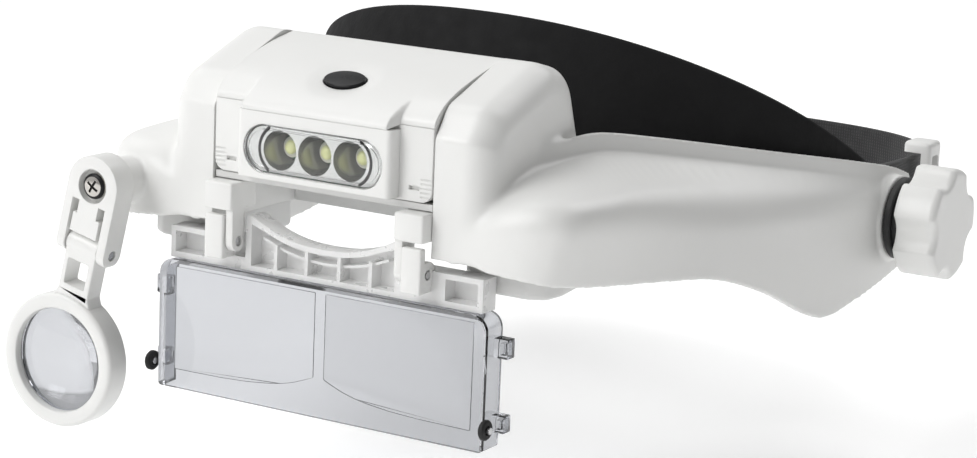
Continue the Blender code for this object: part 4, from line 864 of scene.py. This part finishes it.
def make_under_covers():
    """Trays that close the underside of the two shoulders."""
    corners = [(0.0372, 0.0086), (0.0560, 0.0086), (0.0602, 0.0112), (0.0608, 0.0180), (0.0590, 0.0300)]
    corners += [(0.0560, 0.0425), (0.0372, 0.0425)]
    for name, side in SIDES:
        outline = rounded([(side * x, y) for x, y in corners][::side], 0.0030)
        middle = Vector((side * 0.0490, 0.0250))
        rings = []
        for turn in quarter_turns(5):
            shrink = 1 - 0.05 * (1 - math.sin(turn))
            z = COVER_LOW + 0.0012 * (1 - math.cos(turn))
            rings.append([(*(middle + (Vector(point) - middle) * shrink), z) for point in outline])
        rings.append([(*point, COVER_TOP) for point in outline])
        cover = loft("cover", rings)
        inset = [tuple(middle + (Vector(point) - middle) * 0.90) for point in outline]
        cover = cut(cover, in_xy("inside", inset, COVER_LOW + 0.0016, COVER_TOP + 0.002))
        centre = (side * SCREW_X, SCREW_Y, 0.0420)
        cover = join(cover, rod("post", centre, Z_AXIS, 0.0040, 0.0070))
        seat = rod("seat", (side * SCREW_X, SCREW_Y, 0.0385), Z_AXIS, 0.0030, 0.0020)
        cover = cut(cover, rod("bore", centre, Z_AXIS, 0.0016, 0.02), seat)
        # The cover's darker white is painted shade from the shell above it.
        finish(cover, f"cover_{name}", SHADED_SATIN_WHITE, "visor", f"under_cover_{name}", slot="white_inner")
        profile = [(0, 0.0001), (0.0018, 0), (0.0024, 0.0003), (0.0026, 0.0007), (0.0026, 0.0011)]
        profile += [(0.0012, 0.0011), (0.0012, 0.0080), (0, 0.0080)]
        screw = turned("screw", profile, (side * SCREW_X, SCREW_Y, COVER_LOW), Z_AXIS)
        for turn in (0.4, 0.4 + math.pi / 2):
            slot = block("cross", (-0.0015, -0.00025, -0.001), (0.0015, 0.00025, 0.0006))
            place = Matrix.Translation((side * SCREW_X, SCREW_Y, COVER_LOW))
            slot.data.transform(place @ Matrix.Rotation(turn, 4, "Z"))
            screw = cut(screw, slot)
        finish(screw, f"cover_screw_head_{name}", STEEL, "visor", f"cover_screw_{name}", slot="steel")


# ---------------------------------------------------------------- flip-up lens assembly
BOX_NEAR, BOX_FAR = 0.0246, 0.0332
BOX_LOW = 0.0507
EAR_RADIUS = 0.0027
EAR_FAR = BOX_NEAR + 0.0022
FLAP_NEAR, FLAP_FAR = EAR_FAR + GAP, BOX_FAR - GAP
FLAP_TOP = 0.0494
PIN_BORE = 0.0013
TRAY_FLOOR = LAMP_LOW - 0.0020


def make_hinge_boxes():
    """Two blocks under the lamp floor, each with an ear on its inner side that carries a lens pin."""
    for name, side in SIDES:
        box = side_block("box", side, BOX_NEAR, BOX_FAR, -0.0040, 0.0070, BOX_LOW, TRAY_FLOOR - GAP)
        box = bevelled(box, 0.0006)
        ear = arc(EAR_RADIUS, math.pi, 24, LENS_PIN_Y, LENS_PIN_Z)
        ear += [(LENS_PIN_Y + EAR_RADIUS, BOX_LOW + 0.001), (LENS_PIN_Y - EAR_RADIUS, BOX_LOW + 0.001)]
        box = join(box, bevelled(in_yz("ear", ear, side * BOX_NEAR, side * EAR_FAR), 0.0003, 2, 60))
        middle = side * (BOX_NEAR + BOX_FAR) / 2
        box = cut(box, rod("bore", (middle, LENS_PIN_Y, LENS_PIN_Z), X_AXIS, PIN_BORE, 0.0120, BORE_STEPS))
        finish(box, f"hinge_block_{name}", WHITE, "visor", f"hinge_box_{name}", slot="white_shell")


def make_lens_frame():
    """The carrier that clips the lens plate: a scooped, ribbed bar, and two white flaps with their knuckles."""
    low = PLATE_HEIGHT + GAP
    half = [(0.0, 0.0436), (0.0070, 0.0440), (0.0130, 0.0453), (0.0180, 0.0472), (0.0220, 0.0492)]
    half = smooth(half)
    half += [(0.0236, 0.0492), (0.0240, 0.0380), (FLAP_NEAR, 0.0380), (FLAP_NEAR, 0.0432)]
    half += [(0.0478, 0.0432), (0.0478, low)]
    bar = bevelled(in_xz("bar", both_sides(half), 0.0016, 0.0078), 0.0003, 2, 50)
    scoop = [(0.0, 0.0421), (0.0065, 0.0425), (0.0125, 0.0437), (0.0180, 0.0456), (0.0220, 0.0470)]
    scoop = smooth(scoop)
    pocket = [(-0.0220, low + 0.0014), (0.0220, low + 0.0014), *scoop[::-1], *[(-x, z) for x, z in scoop[1:]]]
    bar = cut(bar, in_xz("pocket", pocket, 0.0, 0.0062))
    for x in (-0.0145, -0.0050, 0.0050, 0.0145):
        bar = join(bar, block("rib", (x - 0.0005, 0.0018, low + 0.0005), (x + 0.0005, 0.0070, 0.0426)))
    ledge = [(x, z - 0.0022) for x, z in scoop if x < 0.0200]
    ledge = both_sides(ledge)
    ledge += [(x, z - 0.0007) for x, z in reversed(ledge)]
    bar = join(bar, in_xz("ledge", ledge, 0.0030, 0.0070))
    for name, side in SIDES:
        bar = cut(bar, side_block("window", side, 0.0368, 0.0462, 0.0, 0.0062, low + 0.0016, 0.0418))
        centre = (side * (FLAP_NEAR + FLAP_FAR) / 2, LENS_PIN_Y, LENS_PIN_Z)
        flap = bevelled(side_block("flap", side, FLAP_NEAR, FLAP_FAR, -0.0040, -0.0016, 0.0378, FLAP_TOP), 0.0005)
        root = side_block("root", side, FLAP_NEAR + 0.0002, FLAP_FAR - 0.0002, -0.0030, 0.0030, 0.0380, 0.0424)
        flap = join(flap, root, rod("knuckle", centre, X_AXIS, 0.0034, FLAP_FAR - FLAP_NEAR))
        flap = cut(flap, rod("bore", centre, X_AXIS, PIN_BORE, 0.0120, BORE_STEPS))
        finish(flap, f"frame_flap_{name}", WHITE, "lens", slot="frosted_plastic")
    finish(bar, "lens_carrier", FROSTED, "lens", "lens_frame", slot="frosted_plastic")


def make_lens_plate():
    """The clear plate: a shallow tray open to the rear and below, with two bowed lens fields behind its face."""
    half = PLATE_WIDTH / 2
    corners = [(-half, 0, 0.001), (half, 0, 0.001), (half, PLATE_HEIGHT, 0.004), (-half, PLATE_HEIGHT, 0.004)]
    plate = bevelled(in_xz("plate", rounded(corners, 0.001), 0.0, 0.0080), 0.0004, 3, 50)
    rim = 0.0014
    corners = [(-half + rim, -0.002), (half - rim, -0.002)]
    corners += [(half - rim, PLATE_HEIGHT - rim, 0.0028), (-half + rim, PLATE_HEIGHT - rim, 0.0028)]
    plate = cut(plate, in_xz("hollow", rounded(corners, 0.0), 0.0022, 0.0100))
    for side in (1, -1):
        lower = [(0.0016, 0.0100), (0.0045, 0.0088), (0.0085, 0.0074), (0.0140, 0.0062), (0.0220, 0.0053)]
        field = [*smooth(lower), (0.0300, 0.0049), (0.0455, 0.0047), (0.0455, 0.0322), (0.0016, 0.0322)]
        lens = in_xz("field", [(side * x, z) for x, z in field][::side], 0.0015, 0.0027)
        plate = join(plate, bevelled(lens, 0.0004, 3, 50))
        for low, high, reach, back in ((0.0236, 0.0286, 0.0540, 0.0076), (0.0046, 0.0090, 0.0536, 0.0078)):
            lug = side_block("lug", side, half - 0.001, reach, back - 0.0036, back, low, high)
            near, far = reach - 0.0022, reach - 0.0008
            hook = side_block("hook", side, near, far, back - 0.0050, back - 0.0010, low + 0.001, high - 0.001)
            plate = join(plate, bevelled(lug, 0.0003, 2))
            plate = cut(plate, hook)
    finish(plate, "lens_plate_clear", PLATE_CLEAR, "lens", "lens_plate", slot="clear_lens")
    for name, side in SIDES:
        centre = Vector((side * 0.0514, -0.0008, 0.0065))
        profile = [(0.0012, -0.0008), (0.0022, -0.0008), (0.0026, -0.0004), (0.0026, 0.0004), (0.0022, 0.0008)]
        profile.append((0.0012, 0.0008))
        stud = turned("bumper", profile, centre, X_AXIS, 48)
        finish(stud, f"bumper_ring_{name}", RUBBER, "lens", f"bumper_{name}", slot="black_rubber")


# ---------------------------------------------------------------- swing loupe
LINK_HALF_WIDTH = 0.0080
LINK_HALF_DEPTH = 0.0035
LEG_INNER = 0.0054
SLIT_WIDTH = 0.0010
TONGUE_END = -0.0136
NECK_HALF = 0.0050
LOUPE_SEAT = 0.0147
LOUPE_LIP = 0.0139
LOUPE_HALF_DEPTH = 0.0038
LOUPE_GROOVE = 0.0016
RING_ROUND = 0.0012


def make_loupe_link():
    """The upper link: a round-topped plate with a spring tongue and a fork at its foot."""
    outline = arc(LINK_HALF_WIDTH, 0.0, 40)
    foot = -FORK_DROP - LINK_HALF_DEPTH
    outline += [(-LINK_HALF_WIDTH, foot, 0.0010), (-LEG_INNER, foot, 0.0008), (-LEG_INNER, TONGUE_END)]
    outline += [(LEG_INNER, TONGUE_END), (LEG_INNER, foot, 0.0008), (LINK_HALF_WIDTH, foot, 0.0010)]
    outline = rounded(outline, 0.0)
    link_plate = bevelled(in_xz("link", outline, -LINK_HALF_DEPTH, LINK_HALF_DEPTH), 0.0006, 4, 50)
    side_view = [(-LINK_HALF_DEPTH - 0.001, 0.02), (-LINK_HALF_DEPTH - 0.001, -FORK_DROP)]
    side_view += arc(LINK_HALF_DEPTH, math.pi, 32, z=-FORK_DROP)
    side_view += [(LINK_HALF_DEPTH + 0.001, -FORK_DROP), (LINK_HALF_DEPTH + 0.001, 0.02)]
    link_plate = combine(link_plate, [in_yz("side_view", side_view, -0.02, 0.02)], "INTERSECT")
    tools = [rod("bore", (0, 0, 0), Y_AXIS, LOUPE_BORE, 0.0100, BORE_STEPS)]
    tools.append(rod("recess", (0, -LINK_HALF_DEPTH, 0), Y_AXIS, 0.0045, 0.0040))
    tools.append(rod("pin_bore", (0, 0, -FORK_DROP), X_AXIS, LOUPE_PIN_BORE, 0.0200, BORE_STEPS))
    for side in (1, -1):
        near = LEG_INNER - SLIT_WIDTH
        tools.append(side_block("slit", side, near, LEG_INNER, -0.0050, 0.0050, TONGUE_END - 0.001, -0.0052))
        tools.append(side_block("slit_head", side, near - 0.0012, LEG_INNER, -0.0050, 0.0050, -0.0084, -0.0048))
    link_plate = cut(link_plate, *tools)
    link_plate.data.transform(LOUPE_FRAME)
    finish(link_plate, "loupe_link_body", WHITE, "loupe_arm", "loupe_link", slot="white_shell")


def make_loupe_hardware():
    head_y = -LINK_HALF_DEPTH - 0.0001
    profile = [(0, -0.0001), (0.0014, 0), (0.0026, 0.0002), (0.0033, 0.0006), (0.0034, 0.0010), (0.0034, 0.0016)]
    profile += [(0.0016, 0.0016), (0.0016, 0.0150), (0, 0.0150)]
    screw = turned("screw", profile, (0, head_y, 0), Y_AXIS)
    for turn in (math.radians(20), math.radians(110)):
        cross = block("cross", (-0.0019, head_y - 0.001, -0.00035), (0.0019, head_y + 0.0009, 0.00035))
        cross.data.transform(Matrix.Rotation(turn, 4, "Y"))
        screw = cut(screw, cross)
    # The faces of the cross recess get gloss black: painted shade inside the chrome recess.
    recess_painted_shade = [face.index for face in screw.data.polygons if head_y + 0.0003 < face.center.y < head_y + 0.0012]
    screw.data.transform(LOUPE_FRAME)
    finish(screw, "loupe_screw_head", CHROME, "visor", "loupe_screw", slot="chrome")
    screw.data.materials.append(GLOSS_BLACK)
    for index in recess_painted_shade:
        screw.data.polygons[index].material_index = 1


def make_loupe():
    """The loupe ring with its eye and windowed neck, and the lens held in a groove."""
    seat, lip, half = LOUPE_SEAT, LOUPE_LIP, LOUPE_HALF_DEPTH
    profile = []
    for turn in quarter_turns(6):
        out = LOUPE_RADIUS - RING_ROUND + RING_ROUND * math.sin(turn)
        profile.append((out, -half + RING_ROUND * (1 - math.cos(turn))))
    profile += [(r, -y) for r, y in reversed(profile)]
    inner = [(lip + 0.0007, half), (lip + 0.0002, half - 0.0002), (lip, half - 0.0007)]
    inner += [(lip, LOUPE_GROOVE), (seat, LOUPE_GROOVE)]
    profile += inner + [(r, -y) for r, y in reversed(inner)]
    ring = turned("ring", profile, (0, 0, -RING_DROP), Y_AXIS, 128)
    top = -RING_DROP + LOUPE_RADIUS - 0.0018
    neck = [(-NECK_HALF, -FORK_DROP), (NECK_HALF, -FORK_DROP), (NECK_HALF, -0.0302, 0.0012), (0.0066, top)]
    neck += [(-0.0066, top), (-NECK_HALF, -0.0302, 0.0012)]
    neck = bevelled(in_xz("neck", rounded(neck, 0.0), -0.0028, 0.0028), 0.0004, 3, 50)
    neck = join(neck, rod("eye", (0, 0, -FORK_DROP), X_AXIS, 0.0031, 2 * NECK_HALF))
    window = bevelled(block("window", (-0.0034, -0.01, -0.0284), (0.0034, 0.01, -0.0212)), 0.0004, 2)
    neck = cut(neck, window, rod("bore", (0, 0, -FORK_DROP), X_AXIS, LOUPE_PIN_BORE, 0.0200, BORE_STEPS))
    ring = join(ring, neck)
    ring.data.transform(LOUPE_FRAME)
    finish(ring, "loupe_ring_body", WHITE, "loupe", "loupe_ring", slot="white_shell")
    edge = seat - GAP
    steps = 14
    glass = [(edge * s / steps, -0.0032 + 0.0025 * (s / steps) ** 2) for s in range(steps + 1)]
    glass += [(r, -y) for r, y in reversed(glass)]
    lens = turned("lens", glass, (0, 0, -RING_DROP), Y_AXIS, 128)
    lens.data.transform(LOUPE_FRAME)
    finish(lens, "loupe_glass", LOUPE_CLEAR, "loupe", "loupe_lens", slot="clear_lens", sharp=60)


# ---------------------------------------------------------------- headband, pad and strap
def squared_arc(angle, power, half_width, reach):
    """A point of a squarish half loop: 0 at one pivot, pi at the other."""
    across = math.copysign(abs(math.cos(angle)) ** (2 / power), math.cos(angle)) * half_width
    return across, max(math.sin(angle), 0.0) ** (2 / power) * reach


def band_point(across, along, up):
    """A point of the tilted band: along runs forward from the pivot line, up is square to it."""
    y = PIVOT_Y - along * math.cos(BAND_TILT) + up * math.sin(BAND_TILT)
    z = PIVOT_Z + along * math.sin(BAND_TILT) + up * math.cos(BAND_TILT)
    return (across, y, z)


def strip_rings(path, half_thickness, edge_steps=6):
    """Round-edged cross-sections along a path of (across, along, low, high) stations."""
    rings = []
    for index, (across, along, low, high) in enumerate(path):
        before = path[max(index - 1, 0)]
        after = path[min(index + 1, len(path) - 1)]
        way = Vector((after[0] - before[0], after[1] - before[1])).normalized()
        out = Vector((way.y, -way.x))
        radius = min(half_thickness, (high - low) / 2)
        ring = []
        for centre, start in ((low + radius, math.pi), (high - radius, 0.0)):
            for step in range(edge_steps + 1):
                turn = start + math.pi * step / edge_steps
                offset = out * (half_thickness * math.cos(turn))
                ring.append((across + offset.x, along + offset.y, centre + radius * math.sin(turn)))
        rings.append(ring)
    return rings


BAND_END_HALF = 0.0112
BAND_POWER = 2.2


def make_headband():
    """The forehead band, a strip on edge from pivot to pivot with rounded tabs."""
    tab = []
    for turn in quarter_turns(12):
        half = max(BAND_END_HALF * math.sin(turn), 0.0006)
        tab.append((BAND_HALF_WIDTH, -0.0130 * math.cos(turn), -half, half))
    stations = list(tab)
    steps = 120
    for step in range(2, steps - 1):
        angle = math.pi * step / steps
        across, along = squared_arc(angle, BAND_POWER, BAND_HALF_WIDTH, BAND_REACH)
        rise = math.sin(angle)
        stations.append((across, along, -BAND_END_HALF - 0.0105 * rise, BAND_END_HALF + 0.0030 * rise))
    stations += [(-across, along, low, high) for across, along, low, high in reversed(tab)]
    rings = [[band_point(*point) for point in ring] for ring in strip_rings(stations, BAND_THICK / 2)]
    band = loft("band", rings)
    for side in (1, -1):
        centre = (side * BAND_HALF_WIDTH, PIVOT_Y, PIVOT_Z)
        band = cut(band, rod("bore", centre, X_AXIS, PIVOT_BORE, 0.0080, BORE_STEPS))
    finish(band, "headband_shell", BAND_BLACK, "band", "headband", slot="black_soft", sharp=60)


PAD_STATIONS = 44
PAD_RING = 20
PAD_HALF_THICK = 0.0034
PAD_PUFF = 0.0016
STUFFING = {
    "quality": 6,
    "mass": 0.05,
    "tension_stiffness": 12,
    "compression_stiffness": 12,
    "shear_stiffness": 6,
    "bending_stiffness": 0.4,
    "use_pressure": True,
    "uniform_pressure_force": 4.0,
    "vertex_group_mass": "stuck",
}
STUFFING_FRAMES = 20


def make_pad():
    """The forehead pad: a stuffed cloth cushion stuck inside the band, puffed by a cloth simulation."""
    path = []
    for step in range(PAD_STATIONS + 1):
        share = step / PAD_STATIONS
        angle = math.radians(41) + math.radians(98) * share
        across, along = squared_arc(angle, BAND_POWER, BAND_HALF_WIDTH, BAND_REACH)
        inward = Vector((across, along))
        inward *= 1 - 0.0050 / inward.length
        taper = math.sqrt(max(1 - abs(2 * share - 1) ** 6, 0.05))
        path.append((inward.x, inward.y, -0.0128 * taper - 0.001, 0.0118 * taper))
    rings = strip_rings(path, PAD_HALF_THICK - 0.0004, PAD_RING // 2 - 1)
    pad = loft("pad", [[band_point(*point) for point in ring] for ring in rings])
    pad.data.update()
    rest = coordinates(pad.data)
    stuck = pad.vertex_groups.new(name="stuck")
    for vertex in pad.data.vertices:
        outward = Vector((vertex.co.x, vertex.co.y - PIVOT_Y, 0)).normalized()
        stuck.add([vertex.index], 1.0 if vertex.normal.dot(outward) > 0.25 else 0.0, "REPLACE")
    cloth = pad.modifiers.new("stuffing", "CLOTH")
    for setting, value in STUFFING.items():
        setattr(cloth.settings, setting, value)
    cloth.settings.effector_weights.gravity = 0.0
    cloth.point_cache.frame_start = 1
    cloth.point_cache.frame_end = STUFFING_FRAMES
    scene = bpy.context.scene
    for number in range(1, STUFFING_FRAMES + 1):
        scene.frame_set(number)
        bpy.context.view_layer.update()
    pad = baked(pad)
    scene.frame_set(1)
    shift = coordinates(pad.data) - rest
    length = np.linalg.norm(shift, axis=1, keepdims=True)
    shift *= np.minimum(1, PAD_PUFF / np.maximum(length, 1e-9))
    pad.data.vertices.foreach_set("co", (rest + shift).ravel())
    pad.data.update()
    subdivision = pad.modifiers.new("soft", "SUBSURF")
    subdivision.levels = 1
    subdivision.render_levels = 1
    pad = baked(pad)
    finish(pad, "forehead_cushion", PAD_CLOTH, "band", "forehead_pad", slot="foam", sharp=180)


STRAP_POWER = 3.2


def strap_drop(y):
    return PIVOT_Z - STRAP_FALL * (y - PIVOT_Y) / STRAP_REACH


def make_rear_strap():
    """The webbing round the back of the head, its ends inside the band's tabs, and the white slide buckle."""
    path = []
    steps = 96
    start = 0.0080
    for step in range(steps + 1):
        across, along = squared_arc(math.pi * step / steps, STRAP_POWER, STRAP_HALF_WIDTH, STRAP_REACH)
        behind = PIVOT_Y + start + along * (1 - start / STRAP_REACH)
        path.append((across, behind, -STRAP_HALF_HEIGHT, STRAP_HALF_HEIGHT))
    rings = []
    for ring in strip_rings(path, 0.0010, 4):
        rings.append([(x, y, strap_drop(y) + z) for x, y, z in ring])
    finish(loft("strap", rings), "rear_strap_webbing", STRAP_CLOTH, "band", "rear_strap", slot="black_soft", sharp=60)
    front, back = 0.1885, 0.1975
    middle = strap_drop((front + back) / 2)
    low, high = middle - 0.0168, middle + 0.0168
    buckle = bevelled(block("buckle", (0.0772, front, low), (0.0856, back, high)), 0.0014, 4)
    slot = block("slot", (0.0730, front - 0.001, low + 0.0033), (0.0829, back + 0.001, high - 0.0033))
    window = block("window", (0.0800, front + 0.0022, low + 0.0040), (0.0900, back - 0.0022, high - 0.0040))
    buckle = cut(buckle, slot, bevelled(window, 0.0010, 3))
    finish(buckle, "buckle_frame", WHITE, "band", "strap_buckle", slot="white_shell")


# ---------------------------------------------------------------- pivot knobs
KNOB_LOW = PIVOT_HALF_WIDTH + 0.0048
KNOB_HIGH = KNOB_LOW + 0.0122
KNOB_RADIUS = 0.0158
KNOB_LOBES = 5
KNOB_TURN = math.radians(5)
FLUTE_RADIUS = 0.0055
FLUTE_CENTRE = 0.0184
FLUTE_BLEND = 0.0016
KNOB_EDGE = 0.0020
KNOB_FOOT = 0.0012
KNOB_BORE = 0.0032


def knob_ring(x, inset):
    """A disc with round flutes cut between its lobes, drawn in by an inset."""
    ring = []
    steps = 60 * KNOB_LOBES
    share = 2 * math.pi / KNOB_LOBES
    flute = FLUTE_RADIUS + inset
    for step in range(steps):
        angle = 2 * math.pi * step / steps
        off = (angle - KNOB_TURN) % share - share / 2
        radius = KNOB_RADIUS - inset
        sideways = FLUTE_CENTRE * math.sin(off)
        if abs(sideways) < flute:
            fluted = FLUTE_CENTRE * math.cos(off) - math.sqrt(flute**2 - sideways**2)
            mix = min(max(0.5 + 0.5 * (fluted - radius) / FLUTE_BLEND, 0), 1)
            radius = fluted * (1 - mix) + radius * mix - FLUTE_BLEND * mix * (1 - mix)
        ring.append((x, PIVOT_Y + radius * math.cos(angle), PIVOT_Z + radius * math.sin(angle)))
    return ring


def make_knobs():
    for name, side in SIDES:
        rings = []
        for turn in quarter_turns(6):
            rise = KNOB_FOOT * (1 - math.cos(turn))
            rings.append(knob_ring(side * (KNOB_LOW + rise), KNOB_FOOT * (1 - math.sin(turn))))
        for turn in quarter_turns(9):
            drop = KNOB_EDGE * (1 - math.sin(turn))
            rings.append(knob_ring(side * (KNOB_HIGH - drop), KNOB_EDGE * (1 - math.cos(turn))))
        for inset in (0.0035, 0.0055):
            rings.append(knob_ring(side * KNOB_HIGH, inset))
        knob = loft("knob", rings)
        knob = cut(knob, rod("bore", (side * KNOB_LOW, PIVOT_Y, PIVOT_Z), X_AXIS, KNOB_BORE, 0.0120, BORE_STEPS))
        finish(knob, f"knob_body_{name}", WHITE, f"knob_{name}", f"knob_{name}", slot="white_shell", sharp=50)
        profile = [(0.0034, 0), (0.0110, 0), (0.0115, 0.0004), (0.0115, 0.0018), (0.0111, 0.0022), (0.0098, 0.0022)]
        profile += [(0.0098, 0.0039), (0.0095, 0.0042), (0.0034, 0.0042)]
        outward = X_AXIS if side > 0 else Matrix.Rotation(math.radians(-90), 4, "Y")
        place = (side * (PIVOT_HALF_WIDTH + GAP), PIVOT_Y, PIVOT_Z)
        washer = turned("washer", profile, place, outward, 96)
        finish(washer, f"pivot_washer_ring_{name}", SOFT_BLACK, "visor", f"pivot_washer_{name}", slot="black_soft")


make_under_covers()
make_hinge_boxes()
make_lens_frame()
make_lens_plate()
make_loupe_link()
make_loupe_hardware()
make_loupe()
make_headband()
make_pad()
make_rear_strap()
make_knobs()

# ---------------------------------------------------------------- finishes of the carried-over pieces
FINISHES = (
    (SHADED_SATIN_WHITE, "battery_tray"),
    (BOARD, "led_board switch_board"),
    (CELL_COAT, "battery_1 battery_2 battery_3"),
    (BRASS, "contact_spring_1 contact_spring_2 contact_spring_3 contact_plate_left contact_plate_right"),
    (RED_LEAD, "wire_red"),
    (SOFT_BLACK, "wire_black switch_body switch_plunger"),
    (STEEL, "hinge_pin_left hinge_pin_right bumper_pin_left bumper_pin_right loupe_pin loupe_washer"),
    (STEEL, "knob_stud_left knob_stud_right pivot_nut_left pivot_nut_right"),
)
for material, nodes in FINISHES:
    for node in nodes.split():
        shade(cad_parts[node].data, material)


# ---------------------------------------------------------------- stage
WORLD_LIGHT = (0.72, 0.06)
FLOOR_GLOW = 0.27
EXPOSURE = 0.0
LIGHTS = (
    ("key", (-0.60, -1.2, 1.05), 0.8, 11.8),
    ("top_left", (-0.8, -0.1, 1.2), 1.0, 5.0),
    ("top_right", (0.40, 0.9, 1.2), 1.0, 7.5),
)
CAMERA_FOCAL = 103.17
CAMERA_PLACE = (0.38885, -0.56792, 0.19883)
CAMERA_AXES = ((0.85302, 0.52022, 0.04168), (-0.14435, 0.15845, 0.97677), (0.50156, -0.83919, 0.21025))


def make_stage():
    """A pale floor, soft lights and the camera."""
    bm = bmesh.new()
    bmesh.ops.create_grid(bm, x_segments=1, y_segments=1, size=20.0)
    floor = mesh_object("floor", bm)
    floor.location = (0, 0, -0.012)
    paper = surface("floor_paper", (0.95, 0.95, 0.95), 0.9, mottle=0.004, grain=0.0, glow=FLOOR_GLOW)
    floor.data.materials.append(paper)
    world = bpy.data.worlds.new("studio")
    bpy.context.scene.world = world
    world.use_nodes = True
    tree = world.node_tree
    direction = add(tree, "SeparateXYZ", {"Vector": add(tree, "TexCoord").outputs["Generated"]}).outputs["X"]
    across = {"Value": direction, "From Min": -1.0, "To Min": WORLD_LIGHT[0], "To Max": WORLD_LIGHT[1]}
    strength = add(tree, "MapRange", across, interpolation_type="SMOOTHSTEP").outputs["Result"]
    fill(tree, tree.nodes["Background"], {"Strength": strength, "Color": (1, 1, 1, 1)})
    for name, place, size, power in LIGHTS:
        lamp = bpy.data.lights.new(name, "AREA")
        lamp.size = size
        lamp.energy = power
        light = link(lamp, name)
        light.location = place
        light.rotation_euler = (Vector((0, 0, 0.05)) - Vector(place)).to_track_quat("-Z", "Y").to_euler()
    lens = bpy.data.cameras.new("camera")
    lens.sensor_width = 36.0
    lens.lens = CAMERA_FOCAL
    lens.clip_start = 0.01
    camera = link(lens, "camera")
    right, up, back = (Vector(axis).normalized() for axis in CAMERA_AXES)
    matrix = Matrix((right, up, back)).transposed().to_4x4()
    matrix.translation = Vector(CAMERA_PLACE) + LAYOUT_TO_ROW
    camera.matrix_world = matrix
    bpy.context.scene.camera = camera
    bpy.context.scene.view_settings.view_transform = "Standard"
    bpy.context.scene.view_settings.exposure = EXPOSURE


make_stage()
